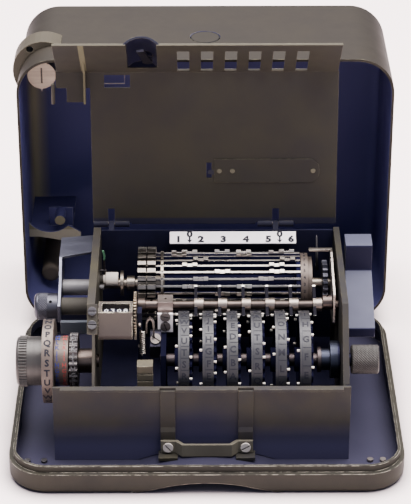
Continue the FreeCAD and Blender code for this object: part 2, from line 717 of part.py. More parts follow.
def lid_tape_cradle():
    """Shelf with a dished front that carries the tape roll, and the roll's hub."""
    wall = -LID_HALF_WIDTH + SHEET
    tip = wall + CRADLE_LENGTH
    front = LID_RIM_Y + CRADLE_DEPTH_IN_LID
    base = CRADLE_BASE_Z + CRADLE_SLOPE
    plate = prism_y([(wall, base), (wall, base + CRADLE_WALL_HEIGHT - CRADLE_SLOPE),
                     (tip, CRADLE_BASE_Z + CRADLE_TIP_HEIGHT), (tip, CRADLE_BASE_Z)], front, front + SHEET)
    dish = cylinder_y(CRADLE_DISH_RADIUS, front - 1, front + SHEET + 1, SPOOL_HUB_X - CRADLE_SLOPE,
                      CRADLE_BASE_Z + CRADLE_TIP_HEIGHT + CRADLE_DISH_RADIUS)
    shelf = box(wall, front, base - SHEET, SPOOL_HUB_X + CRADLE_RIB_WIDTH / 2, LID_BACK_Y - LID_EDGE, base)
    rib_y = front + SHEET + SPOOL_HUB_LENGTH
    rib = box(SPOOL_HUB_X - CRADLE_RIB_WIDTH / 2, rib_y, base - SHEET, SPOOL_HUB_X + CRADLE_RIB_WIDTH / 2,
              rib_y + SHEET, SPOOL_HUB_Z + SPOOL_HUB_RADIUS)
    hub = cylinder_y(SPOOL_HUB_RADIUS, rib_y - SPOOL_HUB_LENGTH, rib_y, SPOOL_HUB_X, SPOOL_HUB_Z)
    return [plate.cut(dish).fuse([shelf, rib]), hub]


# ================================================================ inner cover
def opened_cover(shape):
    return turned(shape, COVER_HINGE_Y, COVER_HINGE_Z, -COVER_OPEN_ANGLE)


def on_bevel(shape):
    """Carry a shape drawn on a level plate, running towards -Y, onto the bevel."""
    placed = turned(shape, 0, 0, COVER_BEVEL_ANGLE)
    placed.translate(Vector(0, COVER_HINGE_Y - COVER_PANEL, COVER_HINGE_Z))
    return placed


def hood_height():
    """Room under the latch hood, above the bevel's middle."""
    return COVER_SHEET / 2 + HOOD_RISE - COVER_SHEET


def hood_radius():
    """Inside radius of the hood's round back, from its width and height."""
    width = HOOD_WIDTH / 2 - COVER_SHEET
    return (width ** 2 + hood_height() ** 2) / (2 * hood_height())


def bevel_plate():
    half = COVER_SHEET / 2
    plate = box(BEVEL_LEFT, -COVER_BEVEL, -half, BEVEL_RIGHT, 0, half)
    for x in WHEEL_X:
        plate = plate.cut(box(x - WINDOW_WIDTH / 2, -WINDOW_END, -1, x + WINDOW_WIDTH / 2, -WINDOW_START, 1))
    width = HOOD_WIDTH / 2 - COVER_SHEET
    centre = hood_height() - hood_radius()
    room = cylinder_y(hood_radius(), -COVER_BEVEL - 1, -HOOD_END - COVER_SHEET, HOOD_X, centre)
    mouth = box(HOOD_X - width, -COVER_BEVEL - 1, -1, HOOD_X + width, -HOOD_END - COVER_SHEET, half)
    boss = cylinder_z(LATCH_BOSS_RADIUS, -half, hood_height(), LATCH_X, -LATCH_ALONG)
    above = box(HOOD_X - HOOD_WIDTH, -COVER_BEVEL, 0, HOOD_X + HOOD_WIDTH, 0, hood_height() + COVER_SHEET)
    shell = cylinder_y(hood_radius() + COVER_SHEET, -COVER_BEVEL, -HOOD_END, HOOD_X, centre)
    plate = plate.fuse(shell.common(above)).cut(mouth).cut(room.common(above)).fuse(boss.cut(mouth))
    bore = cylinder_z(LATCH_PIN_RADIUS + FIT, -2, hood_height() + COVER_SHEET + 1, LATCH_X, -LATCH_ALONG)
    return plate.cut(bore)


def cover_lug_positions():
    return (COVER_LUG_LEFT_X, COVER_LUG_RIGHT_X)


def cover_web_x():
    """The web under the cover's left end, just outside the side plate's flange."""
    return FRAME_LEFT - FLANGE_WIDTH_LEFT - WEB_CLEARANCE


def inner_cover():
    half = COVER_SHEET / 2
    front = COVER_HINGE_Y - COVER_PANEL
    low = COVER_HINGE_Z - half
    high = COVER_HINGE_Z + half
    web = cover_web_x()
    panel = box(COVER_LEFT, front, low, COVER_RIGHT, COVER_HINGE_Y, high)
    wing = box(WING_LEFT, front, low, web, front + WING_DEPTH, high)
    step = box(STEP_LEFT, front, low, WING_LEFT, front + STEP_DEPTH, high)
    bridge = box(web, front, low, COVER_LEFT, front + STEP_DEPTH, high)
    fold = cylinder_x(half, STEP_LEFT, BEVEL_RIGHT, front, COVER_HINGE_Z)
    cover = panel.fuse([wing, step, bridge, fold, on_bevel(bevel_plate())])
    cover = cover.cut(box(COUNTER_WINDOW_LEFT, COVER_HINGE_Y - COUNTER_WINDOW_NEAR, low - 1,
                          COUNTER_WINDOW_RIGHT, COVER_HINGE_Y - COUNTER_WINDOW_FAR, high + 1))
    slot_y = COVER_HINGE_Y - SPRING_ALONG
    cover = cover.cut(box(SLOT_X - SLOT_WIDTH / 2, slot_y - SLOT_LENGTH / 2, low - 1,
                          SLOT_X + SLOT_WIDTH / 2, slot_y + SLOT_LENGTH / 2, high + 1))
    for x in cover_lug_positions():
        gap_half = COVER_LUG_WIDTH / 2 + GAP
        reach = gap_half + COVER_KNUCKLE_LENGTH
        knuckle = cylinder_x(COVER_KNUCKLE_RADIUS, x - reach, x + reach, COVER_HINGE_Y, COVER_HINGE_Z)
        notch = box(x - gap_half, COVER_HINGE_Y - COVER_NOTCH, low - 2, x + gap_half, COVER_HINGE_Y + 2, high + 2)
        bore = cylinder_x(COVER_PIN_RADIUS + FIT, x - reach - 1, x + reach + 1, COVER_HINGE_Y, COVER_HINGE_Z)
        cover = cover.fuse(knuckle).cut(notch).cut(bore)
    slope = math.radians(COVER_BEVEL_ANGLE)
    foot = (front - WEB_LENGTH * math.cos(slope), COVER_HINGE_Z - WEB_LENGTH * math.sin(slope))
    gusset = prism_x([(front, COVER_HINGE_Z), (front + WING_DEPTH, COVER_HINGE_Z), (front + WING_DEPTH, low - WEB_DROP),
                      (front, low - WEB_DROP), foot], web - COVER_SHEET, web)
    return opened_cover(cover.fuse(gusset).removeSplitter())


def cover_latch():
    """Turning catch under the bevel, with its pin through the hood's boss."""
    half = COVER_SHEET / 2
    roof = hood_height() + COVER_SHEET
    pin = cylinder_z(LATCH_PIN_RADIUS, -half - LATCH_PIN_PROUD, roof + GAP, LATCH_X, -LATCH_ALONG)
    knob = cylinder_z(LATCH_KNOB_RADIUS, roof + GAP, roof + GAP + LATCH_KNOB_HEIGHT, LATCH_X, -LATCH_ALONG)
    top = -half - GAP
    side = LATCH_ARM_WIDTH / 2
    tip = -LATCH_ALONG - LATCH_ARM_LENGTH
    arm = box(LATCH_X - side, tip, top - LATCH_ARM_SHEET, LATCH_X + side, -LATCH_ALONG, top)
    arm.rotate(Vector(LATCH_X, -LATCH_ALONG, 0), Vector(0, 0, 1), -LATCH_REST_TURN)
    hub = cylinder_z(LATCH_BOSS_RADIUS, top - LATCH_ARM_SHEET, top, LATCH_X, -LATCH_ALONG)
    return opened_cover(on_bevel(pin.fuse([knob, arm, hub])))


def cover_spring():
    """Long leaf spring riveted under the panel, with its two rivets."""
    top = COVER_HINGE_Z - COVER_SHEET / 2
    y = COVER_HINGE_Y - SPRING_ALONG
    leaf = box(SPRING_LEFT, y - SPRING_WIDTH / 2, top - SPRING_SHEET, SPRING_RIGHT, y + SPRING_WIDTH / 2, top)
    rounded = [e for e in upright_edges(leaf) if e.Vertexes[0].X > SPRING_RIGHT - SPRING_WIDTH]
    leaf = leaf.makeFillet(SPRING_WIDTH / 2 - 1, rounded)
    return opened_cover(leaf)


def cover_rivets():
    top = COVER_HINGE_Z - COVER_SHEET / 2 - SPRING_SHEET
    y = COVER_HINGE_Y - SPRING_ALONG
    places = [SPRING_LEFT + step for step in RIVETS_FROM_END] + [SPRING_RIGHT - SPRING_SCREW_FROM_END]
    return [opened_cover(cylinder_z(RIVET_RADIUS, top - RIVET_HEAD, top, x, y)) for x in places]


# ================================================================ mechanism frame
def side_outline():
    return [(FRAME_REAR, TRAY_FLOOR), (FRAME_REAR, SIDE_TOP), (SHOULDER_Y, SIDE_TOP),
            (FRAME_FRONT + FRAME_SHEET, FRONT_PLATE_TOP - FRAME_SHEET), (FRAME_FRONT + FRAME_SHEET, TRAY_FLOOR)]


def flange(x0, x1, foot):
    """Folded band that follows the side plate's top and sloping front, down to its foot."""
    outline = side_outline()
    inner = [(y + SHEET, z - SHEET) for y, z in outline]
    band = prism_x(outline, x0, x1).cut(prism_x(inner, x0 - 1, x1 + 1))
    return band.cut(box(x0 - 1, -EXTENT, 0, x1 + 1, EXTENT, foot))


def left_side_plate():
    inside = FRAME_LEFT + FRAME_SHEET
    plate = prism_x(side_outline(), FRAME_LEFT, inside)
    left = FRAME_LEFT - FLANGE_WIDTH_LEFT
    sloping = box(left - 1, -EXTENT, 0, LEFT_TAB_RIGHT + 1, SHOULDER_Y, EXTENT)
    tab = flange(left, LEFT_TAB_RIGHT, LEFT_TAB_FOOT).common(sloping)
    boss_z = DRUM_AXIS_Z + BOSS_RAISE
    boss = cylinder_x(BOSS_NECK_RADIUS, inside, BOSS_RIGHT, DRUM_AXIS_Y, boss_z)
    boss = boss.fuse(cylinder_x(BOSS_RADIUS, BOSS_LEFT, BOSS_RIGHT, DRUM_AXIS_Y, boss_z))
    boss = boss.cut(cylinder_x(DRUM_SHAFT_RADIUS + GAP, inside - 1, BOSS_RIGHT + 1, DRUM_AXIS_Y, DRUM_AXIS_Z))
    plate = plate.fuse([flange(left, inside, LEFT_TAB_FOOT), tab, boss])
    bores = [cylinder_x(DRUM_SHAFT_RADIUS + FIT, FRAME_LEFT - 1, inside + 1, DRUM_AXIS_Y, DRUM_AXIS_Z),
             cylinder_x(SET_SHAFT_RADIUS + FIT, FRAME_LEFT - 1, inside + 1, SET_AXIS_Y, SET_AXIS_Z),
             cylinder_x(FEED_SHAFT_RADIUS + FIT, FRAME_LEFT - 1, inside + 1, FEED_AXIS_Y, FEED_AXIS_Z),
             cylinder_x(PRESS_SHAFT_RADIUS + FIT, FRAME_LEFT - 1, inside + 1, PRESS_AXIS_Y, PRESS_AXIS_Z)]
    return plate.cut(Part.makeCompound(bores)).removeSplitter()


def right_side_plate():
    inside = FRAME_RIGHT - FRAME_SHEET
    plate = prism_x(side_outline(), inside, FRAME_RIGHT)
    plate = plate.fuse(flange(inside, FRAME_RIGHT + FLANGE_WIDTH_RIGHT, FRONT_PLATE_TOP))
    bores = [cylinder_x(DRUM_SHAFT_RADIUS + FIT, inside - 1, FRAME_RIGHT + 1, DRUM_AXIS_Y, DRUM_AXIS_Z),
             cylinder_x(WHEEL_SHAFT_RADIUS + FIT, inside - 1, FRAME_RIGHT + 1, WHEEL_AXIS_Y, WHEEL_AXIS_Z)]
    return plate.cut(Part.makeCompound(bores)).removeSplitter()


def front_plate():
    """Apron with its top edge folded forward between and outside the straps."""
    low = TRAY_FLOOR
    plate = box(FRONT_PLATE_LEFT, FRAME_FRONT, low, FRONT_PLATE_RIGHT, FRAME_FRONT + FRAME_SHEET, FRONT_PLATE_TOP)
    lip = box(FRONT_PLATE_LEFT + LIP_END_MARGIN, FRAME_FRONT - FRONT_BEAD, FRONT_PLATE_TOP - FRAME_SHEET,
              FRONT_PLATE_RIGHT - LIP_END_MARGIN, FRAME_FRONT + FRAME_SHEET, FRONT_PLATE_TOP)
    for x in strap_positions():
        half = STRAP_WIDTH / 2 + GAP
        lip = lip.cut(box(x - half, FRAME_FRONT - FRONT_BEAD - 1, low,
                          x + half, FRAME_FRONT, FRONT_PLATE_TOP + 1))
    return plate.fuse(lip).cut(groove_cutter(TRAY_FLOOR + GAP)).removeSplitter()


def rear_plate():
    inner = FRAME_REAR - FRAME_SHEET
    left = FRAME_LEFT + FRAME_SHEET
    right = FRAME_RIGHT - FRAME_SHEET
    top = COVER_HINGE_Z - COVER_KNUCKLE_RADIUS - GAP
    plate = box(left, inner, TRAY_FLOOR, right, FRAME_REAR, top)
    for x in cover_lug_positions():
        half = COVER_LUG_WIDTH / 2
        root = top - COVER_LUG_ROOT
        lug = prism_x([(inner, root), (FRAME_REAR, root), (COVER_HINGE_Y + COVER_KNUCKLE_RADIUS, top - COVER_LUG_NOSE),
                       (COVER_HINGE_Y + COVER_KNUCKLE_RADIUS, COVER_HINGE_Z),
                       (COVER_HINGE_Y, COVER_HINGE_Z + COVER_KNUCKLE_RADIUS),
                       (COVER_HINGE_Y - COVER_KNUCKLE_RADIUS, COVER_HINGE_Z), (inner, top)], x - half, x + half)
        bore = cylinder_x(COVER_PIN_RADIUS + PIN_FIT, x - half - 1, x + half + 1, COVER_HINGE_Y, COVER_HINGE_Z)
        plate = plate.fuse(lug).cut(bore)
    return plate.cut(groove_cutter(TRAY_FLOOR + GAP)).fuse(strip_bracket()).removeSplitter()


def mechanism_deck():
    deck = box(FRAME_LEFT + FRAME_SHEET, FRAME_FRONT + FRAME_SHEET, DECK_HEIGHT - FRAME_SHEET,
               FRAME_RIGHT - FRAME_SHEET, FRAME_REAR - FRAME_SHEET, DECK_HEIGHT)
    return deck.cut(groove_cutter(TRAY_FLOOR + GAP)).fuse(counter_gear_post())


def strap_positions():
    return (-STRAP_X, STRAP_X)


def front_straps():
    straps = []
    for x in strap_positions():
        low = GROOVE_RISE
        half = STRAP_WIDTH / 2
        lower = prism_x([(FRAME_FRONT, low), (FRAME_FRONT, STRAP_STEP_HEIGHT + 2),
                         (PLATE_FACE, STRAP_STEP_HEIGHT + 2), (PLATE_FACE - STRAP_STEP, STRAP_STEP_HEIGHT),
                         (PLATE_FACE - STRAP_STEP, low)], x - half, x + half)
        upper = box(x - half, PLATE_FACE, STRAP_STEP_HEIGHT, x + half, FRAME_FRONT, FRONT_PLATE_TOP - FRAME_SHEET)
        foot = box(x - half - FOOT_FLARE, PLATE_FACE - STRAP_STEP - FOOT_LENGTH, low,
                   x + half + FOOT_FLARE, PLATE_FACE, low + FOOT_HEIGHT)
        strap = lower.fuse([upper, foot])
        straps.append(strap.cut(groove_cutter(TRAY_FLOOR)).removeSplitter())
    return straps


def front_catch_bar():
    """Bowed bar between the straps that the case catch hooks under."""
    seat = PLATE_FACE - STRAP_STEP
    end = STRAP_X + STRAP_WIDTH / 2
    inner = STRAP_X - STRAP_WIDTH / 2
    out = seat - CATCH_BAR_BOW
    t = CATCH_BAR_SHEET
    bend = CATCH_BAR_BEND
    outline = [(-end, seat), (-end, seat - t), (-inner, seat - t), (-inner + bend, out), (inner - bend, out),
               (inner, seat - t), (end, seat - t), (end, seat), (inner - 1, seat), (inner - bend - 1, out + t),
               (-inner + bend + 1, out + t), (-inner + 1, seat)]
    half = CATCH_BAR_HEIGHT / 2
    return prism_z(outline, CATCH_BAR_Z - half, CATCH_BAR_Z + half)


def frame_screws():
    screws = []
    for x, turn in zip(strap_positions(), BAR_SCREW_TURNS):
        seat = PLATE_FACE - STRAP_STEP - CATCH_BAR_SHEET
        screws.append(slotted_head_y(BAR_SCREW_RADIUS, x, seat, CATCH_BAR_Z, turn))
    retainer_x = (BLOCK_LEFT + BLOCK_RIGHT) / 2
    for rise, turn in zip(RETAINER_SCREWS, RETAINER_SCREW_TURNS):
        screws.append(slotted_head_y(RETAINER_SCREW_RADIUS, retainer_x, retainer_face() - FRAME_SHEET,
                                     retainer_middle() + rise, turn))
    tilted = slotted_head_y(CLAMP_SCREW_RADIUS, clamp_screw_x(), clamp_front(), clamp_seat_z(), CLAMP_SCREW_TURN)
    tilted.rotate(Vector(0, clamp_front(), clamp_seat_z()), Vector(1, 0, 0), -45)
    tilted.translate(Vector(0, CLAMP_ROUND / 2, 0))
    screws.append(tilted)
    for along in FLANGE_SCREW_PLACES:
        head = cylinder_z(FLANGE_SCREW_RADIUS, 0, SCREW_HEAD, 0, 0)
        head = head.cut(box(-FLANGE_SCREW_RADIUS, -SCREW_SLOT / 2, SCREW_HEAD - SCREW_SLOT_DEPTH,
                            FLANGE_SCREW_RADIUS, SCREW_SLOT / 2, SCREW_HEAD + 1))
        head.rotate(Vector(0, 0, 0), Vector(1, 0, 0), SLOPE_ANGLE)
        lean = math.radians(SLOPE_ANGLE)
        middle = (FRAME_LEFT - FLANGE_WIDTH_LEFT + LEFT_TAB_RIGHT) / 2
        head.translate(Vector(middle, SHOULDER_Y - along * math.cos(lean), SIDE_TOP - along * math.sin(lean)))
        screws.append(head)
    return screws


def retainer_face():
    return ARM_AXIS_Y - BLOCK_SIZE / 2 - BLOCK_OVERHANG


def retainer_middle():
    return ARM_AXIS_Z - RETAINER_DROP


def clamp_screw_x():
    return BLOCK_LEFT + BLOCK_OVERHANG - CLAMP_SCREW_RADIUS - FIT


def clamp_front():
    return WHEEL_AXIS_Y + WHEEL_SHAFT_RADIUS + BLOCK_OVERHANG


def clamp_seat_z():
    """Height of the middle of the clamp's slanted face."""
    return CLAMP_TOP - CLAMP_ROUND / 2


def wheel_bearing_plate():
    """Inner bearing for the key-wheel shaft, with the block that carries the arm shaft."""
    x0 = BLOCK_LEFT + BLOCK_OVERHANG
    x1 = x0 + BEARING_SHEET
    top = ARM_AXIS_Z - BLOCK_SIZE / 2
    shoulder = retainer_middle() - RETAINER_HEIGHT / 2 - GAP
    rear = ARM_AXIS_Y + BLOCK_SIZE / 2 + 1.5
    plate = prism_x([(WHEEL_AXIS_Y - BEARING_FOOT_REACH, DECK_HEIGHT), (WHEEL_AXIS_Y - BEARING_HEAD_REACH, shoulder),
                     (retainer_face(), shoulder), (retainer_face(), top), (rear, top), (rear, DECK_HEIGHT)], x0, x1)
    head = box(BLOCK_LEFT, retainer_face(), shoulder, BLOCK_RIGHT, rear - 2, top)
    bore = cylinder_x(WHEEL_SHAFT_RADIUS + FIT, x0 - 1, x1 + 1, WHEEL_AXIS_Y, WHEEL_AXIS_Z)
    return plate.fuse(head).cut(bore).removeSplitter()


def arm_shaft_block():
    half = BLOCK_SIZE / 2
    top = ARM_AXIS_Z + half
    block = box(BLOCK_LEFT, ARM_AXIS_Y - half, ARM_AXIS_Z - half, BLOCK_RIGHT, ARM_AXIS_Y + half, top)
    bore = cylinder_x(ARM_SHAFT_RADIUS, BLOCK_LEFT - 1, BLOCK_RIGHT + 1, ARM_AXIS_Y, ARM_AXIS_Z)
    dimple = cylinder_z(DIMPLE_RADIUS, top - 1, top + 1, (BLOCK_LEFT + BLOCK_RIGHT) / 2, ARM_AXIS_Y)
    return block.cut(bore).cut(dimple)


def arm_shaft():
    """Fixed shaft of the guide arms, thick at its left end, with a bearing drum at its right."""
    y, z = ARM_AXIS_Y, ARM_AXIS_Z
    shaft = cylinder_x(ARM_SHAFT_RADIUS, ARM_SHAFT_LEFT, FRAME_RIGHT - FRAME_SHEET, y, z)
    thick = cylinder_x(ARM_THICK_RADIUS, ARM_SHAFT_LEFT, BLOCK_LEFT, y, z)
    collar = cylinder_x(ARM_COLLAR_RADIUS, ARM_SHAFT_LEFT, ARM_SHAFT_LEFT + ARM_COLLAR_LENGTH, y, z)
    raised = z + ARM_BEARING_RAISE
    bearing = cylinder_x(ARM_BEARING_RADIUS, ARM_BEARING_LEFT, ARM_BEARING_RIGHT, y, raised)
    middle = (ARM_BEARING_LEFT + ARM_BEARING_RIGHT) / 2
    top = raised + ARM_BEARING_RADIUS
    dimple = cylinder_z(DIMPLE_RADIUS, top - 1, top + 1, middle, y)
    thick_dimple = cylinder_z(DIMPLE_RADIUS, z + ARM_THICK_RADIUS - 1, z + ARM_THICK_RADIUS + 1,
                              (ARM_SHAFT_LEFT + ARM_COLLAR_LENGTH + BLOCK_LEFT) / 2, y)
    return shaft.fuse([thick, collar, bearing]).cut(dimple).cut(thick_dimple)


def retainer_plate():
    y = retainer_face()
    middle = retainer_middle()
    half = RETAINER_HEIGHT / 2
    return box(BLOCK_LEFT, y - FRAME_SHEET, middle - half, BLOCK_RIGHT, y, middle + half)


def clamp_block():
    right = BLOCK_LEFT + BLOCK_OVERHANG
    front = clamp_front()
    back = retainer_face() - FRAME_SHEET - SCREW_HEAD - GAP
    bottom = CLAMP_TOP - CLAMP_HEIGHT
    return prism_x([(front, bottom), (front, CLAMP_TOP - CLAMP_ROUND), (front + CLAMP_ROUND, CLAMP_TOP),
                    (back, CLAMP_TOP), (back, bottom)], right - CLAMP_WIDTH, right)


def drum_end_bracket():
    """Cheek inside the right side plate that carries the drum shaft and the arm shaft, with a narrow top lip."""
    right = CHEEK_X + CHEEK_SHEET
    back = DRUM_AXIS_Y + ARM_COLLAR_RADIUS
    low = DRUM_AXIS_Z - 2 * ARM_BEARING_RADIUS
    front = ARM_AXIS_Y - ARM_BEARING_RADIUS
    reach = 2 * ARM_BEARING_RADIUS
    sheet = prism_x([(back, CHEEK_TOP), (DRUM_AXIS_Y - 1, CHEEK_TOP), (front, ARM_AXIS_Z + reach),
                     (front - 1, ARM_AXIS_Z - reach), (front + ARM_BEARING_RADIUS, low), (back, low)],
                    CHEEK_X, right)
    lip = box(CHEEK_LIP_LEFT, back - CHEEK_LIP_WIDTH, CHEEK_TOP - CHEEK_SHEET, right, back, CHEEK_TOP)
    lug = box(right - FIT, back - BLOCK_SIZE, low, FRAME_RIGHT - FRAME_SHEET, back, low + ARM_BEARING_RADIUS)
    bores = [cylinder_x(DRUM_SHAFT_RADIUS + FIT, CHEEK_X - 1, right + 1, DRUM_AXIS_Y, DRUM_AXIS_Z),
             cylinder_x(ARM_SHAFT_RADIUS, CHEEK_X - 1, right + 1, ARM_AXIS_Y, ARM_AXIS_Z)]
    return sheet.fuse([lip, lug]).cut(Part.makeCompound(bores)).removeSplitter()


def strip_bracket():
    """Sloping shelf on the rear plate, under the scale strip."""
    under = (STRIP_FRONT_Y + STRIP_SHEET * math.sin(math.radians(STRIP_TILT)),
             STRIP_FRONT_Z - STRIP_SHEET * math.cos(math.radians(STRIP_TILT)))
    rear = FRAME_REAR - FRAME_SHEET
    reach = (rear - under[0] - SHELF_SHEET) / math.cos(math.radians(STRIP_TILT))
    left = STRIP_LEFT + SHELF_INSET
    right = STRIP_RIGHT - SHELF_INSET
    shelf = slab_x(under, reach, STRIP_TILT, SHELF_SHEET, left, right)
    end = under[0] + reach * math.cos(math.radians(STRIP_TILT))
    height = under[1] + reach * math.sin(math.radians(STRIP_TILT))
    leg = box(left, end, height - SHELF_LEG, right, rear, height)
    return shelf.fuse(leg).removeSplitter()


def scale_strip():
    strip = slab_x((STRIP_FRONT_Y, STRIP_FRONT_Z), STRIP_WIDTH - STRIP_LEDGE, STRIP_TILT, STRIP_SHEET,
                   STRIP_LEFT, STRIP_RIGHT)
    return strip


def cover_catch_block():
    x1 = CATCH_BLOCK_X + CATCH_BLOCK_WIDTH
    y1 = CATCH_BLOCK_Y + CATCH_BLOCK_DEPTH
    block = box(CATCH_BLOCK_X, CATCH_BLOCK_Y, DECK_HEIGHT, x1, y1, CATCH_BLOCK_TOP)
    for z in [CATCH_BLOCK_TOP - drop for drop in CATCH_BLOCK_GROOVES]:
        block = block.cut(box(CATCH_BLOCK_X - 1, CATCH_BLOCK_Y - 1, z - CATCH_GROOVE / 2,
                              x1 + 1, CATCH_BLOCK_Y + CATCH_GROOVE, z + CATCH_GROOVE / 2))
    return block


# ================================================================ key wheels
def wheel_pins(x, letters):
    """Sliding pins, each pushed to the left or the right of its wheel."""
    pins = []
    half = WHEEL_WIDTH / 2
    for i in range(letters):
        right = (i * 7 + letters) % 5 < 3
        x0 = x - half if right else x - half - WHEEL_PIN_PROUD
        a = 2 * math.pi * (i + 0.5) / letters
        y = WHEEL_AXIS_Y + WHEEL_PIN_CIRCLE * math.cos(a)
        z = WHEEL_AXIS_Z + WHEEL_PIN_CIRCLE * math.sin(a)
        pins.append(cylinder_x(WHEEL_PIN_RADIUS, x0, x0 + WHEEL_WIDTH + WHEEL_PIN_PROUD, y, z))
    return pins


def key_wheel(x, letters):
    half = WHEEL_WIDTH / 2
    inner = WHEEL_RADIUS - WHEEL_RIM
    rim = ring_x(WHEEL_RADIUS, inner, x - half, x + half, WHEEL_AXIS_Y, WHEEL_AXIS_Z)
    web = cylinder_x(inner, x - WHEEL_WEB / 2, x + WHEEL_WEB / 2, WHEEL_AXIS_Y, WHEEL_AXIS_Z)
    reach = WHEEL_HUB_LENGTH / 2
    hub = cylinder_x(WHEEL_HUB_RADIUS, x - reach, x + reach, WHEEL_AXIS_Y, WHEEL_AXIS_Z)
    gear = toothed_disc_x(letters, WHEEL_GEAR_RADIUS, WHEEL_GEAR_RADIUS - WHEEL_GEAR_TOOTH,
                          x + half, x + half + WHEEL_GEAR_SHEET, WHEEL_AXIS_Y, WHEEL_AXIS_Z)
    wheel = rim.fuse([web, hub, gear])
    bore = cylinder_x(WHEEL_SHAFT_RADIUS + FIT, x - WHEEL_PITCH, x + WHEEL_PITCH, WHEEL_AXIS_Y, WHEEL_AXIS_Z)
    holes = []
    for i in range(letters):
        a = 2 * math.pi * (i + 0.5) / letters
        y = WHEEL_AXIS_Y + WHEEL_PIN_CIRCLE * math.cos(a)
        z = WHEEL_AXIS_Z + WHEEL_PIN_CIRCLE * math.sin(a)
        holes.append(cylinder_x(WHEEL_PIN_RADIUS + PIN_FIT, x - half - 1, x + half + 1, y, z))
    return wheel.cut(Part.makeCompound([bore] + holes))


def key_wheel_shaft():
    """Shaft of the key wheels, with its flange inside the right side plate."""
    left = BLOCK_LEFT + 1.2
    wall = FRAME_RIGHT - FRAME_SHEET
    right = RESET_KNOB_FACE + RESET_KNOB_LENGTH / 2
    shaft = cylinder_x(WHEEL_SHAFT_RADIUS, left, right, WHEEL_AXIS_Y, WHEEL_AXIS_Z)
    face = wall - KEY_FLANGE_WIDTH
    disc = cylinder_x(WHEEL_SHAFT_FLANGE, face, wall - GAP, WHEEL_AXIS_Y, WHEEL_AXIS_Z)
    sleeve = cylinder_x(WHEEL_SHAFT_SLEEVE, face - KEY_SLEEVE_LENGTH, face, WHEEL_AXIS_Y, WHEEL_AXIS_Z)
    start = face - KEY_SLEEVE_LENGTH
    collar = cylinder_x(WHEEL_SHAFT_COLLAR, start, start + KEY_COLLAR_LENGTH, WHEEL_AXIS_Y, WHEEL_AXIS_Z)
    return shaft.fuse([disc, sleeve, collar])


def knurled_x(radius, depth, count, x0, x1, y, z):
    return toothed_disc_x(count, radius, radius - depth, x0, x1, y, z)


def reset_knob():
    x1 = RESET_KNOB_FACE + RESET_KNOB_LENGTH
    grip = knurled_x(RESET_KNOB_RADIUS, RESET_KNURL_DEPTH, RESET_KNOB_RIDGES, RESET_KNOB_FACE + RESET_KNOB_CHAMFER,
                     x1 - RESET_KNOB_CHAMFER, WHEEL_AXIS_Y, WHEEL_AXIS_Z)
    core = cylinder_x(RESET_KNOB_RADIUS - RESET_KNURL_DEPTH, RESET_KNOB_FACE, x1, WHEEL_AXIS_Y, WHEEL_AXIS_Z)
    core = core.makeChamfer(RESET_KNOB_CHAMFER, [e for e in core.Edges if e.Curve.TypeId == "Part::GeomCircle"])
    bore = cylinder_x(WHEEL_SHAFT_RADIUS, RESET_KNOB_FACE - 1, RESET_KNOB_FACE + RESET_KNOB_LENGTH / 2,
                      WHEEL_AXIS_Y, WHEEL_AXIS_Z)
    return core.fuse(grip).cut(bore)


# ================================================================ bar drum
def on_drum(shape, index):
    return turned(shape, DRUM_AXIS_Y, DRUM_AXIS_Z, 360.0 * index / BAR_COUNT)


def slide_bar(index):
    """One sliding bar with its two comb teeth at the left end."""
    z = DRUM_AXIS_Z + BAR_RADIUS
    half = BAR_THICKNESS / 2
    bar = box(BAR_LEFT, DRUM_AXIS_Y - half, z - BAR_DEPTH, BAR_RIGHT, DRUM_AXIS_Y + half, z)
    root = z - BAR_DEPTH
    tip = DRUM_AXIS_Z + TOOTH_RADIUS
    teeth = []
    for i in range(2):
        x0 = BAR_LEFT + i * (TOOTH_LENGTH + TOOTH_SPACE)
        teeth.append(box(x0, DRUM_AXIS_Y - TOOTH_WIDTH / 2, root + 0.6, x0 + TOOTH_LENGTH,
                         DRUM_AXIS_Y + TOOTH_WIDTH / 2, tip))
    return on_drum(bar.fuse(teeth), index)


def lug_columns():
    """X of the six wheel columns and the two idle columns between them."""
    first = WHEEL_FIRST_X + LUG_COLUMN_OFFSET
    columns = [first + i * LUG_COLUMN_PITCH for i in range(6)]
    idle_left = (columns[0] + columns[1]) / 2
    idle_right = (columns[4] + columns[5]) / 2
    return columns, idle_left, idle_right


def bar_lug(x, index):
    """Rider on a slide bar: a saddle with a bump at each end."""
    z = DRUM_AXIS_Z + BAR_RADIUS
    half = LUG_WIDTH / 2
    x0 = x - LUG_LENGTH / 2
    x1 = x + LUG_LENGTH / 2
    saddle = box(x0, DRUM_AXIS_Y - half, z, x1, DRUM_AXIS_Y + half, z + LUG_BASE)
    bumps = [box(b, DRUM_AXIS_Y - half, z, b + LUG_BUMP_LENGTH, DRUM_AXIS_Y + half, z + LUG_BASE + LUG_BUMP)
             for b in (x0, x1 - LUG_BUMP_LENGTH)]
    return on_drum(saddle.fuse(bumps), index)


def bar_lugs():
    columns, idle_left, idle_right = lug_columns()
    left_places = [columns[0], columns[1], idle_left, columns[2]]
    right_places = [columns[3], columns[4], idle_right, columns[5]]
    lugs = []
    for i in range(BAR_COUNT):
        lugs.append(bar_lug(left_places[(i * 5 + i // 4) % 4], i))
        lugs.append(bar_lug(right_places[(i * 3 + i // 3) % 4], i))
    return lugs


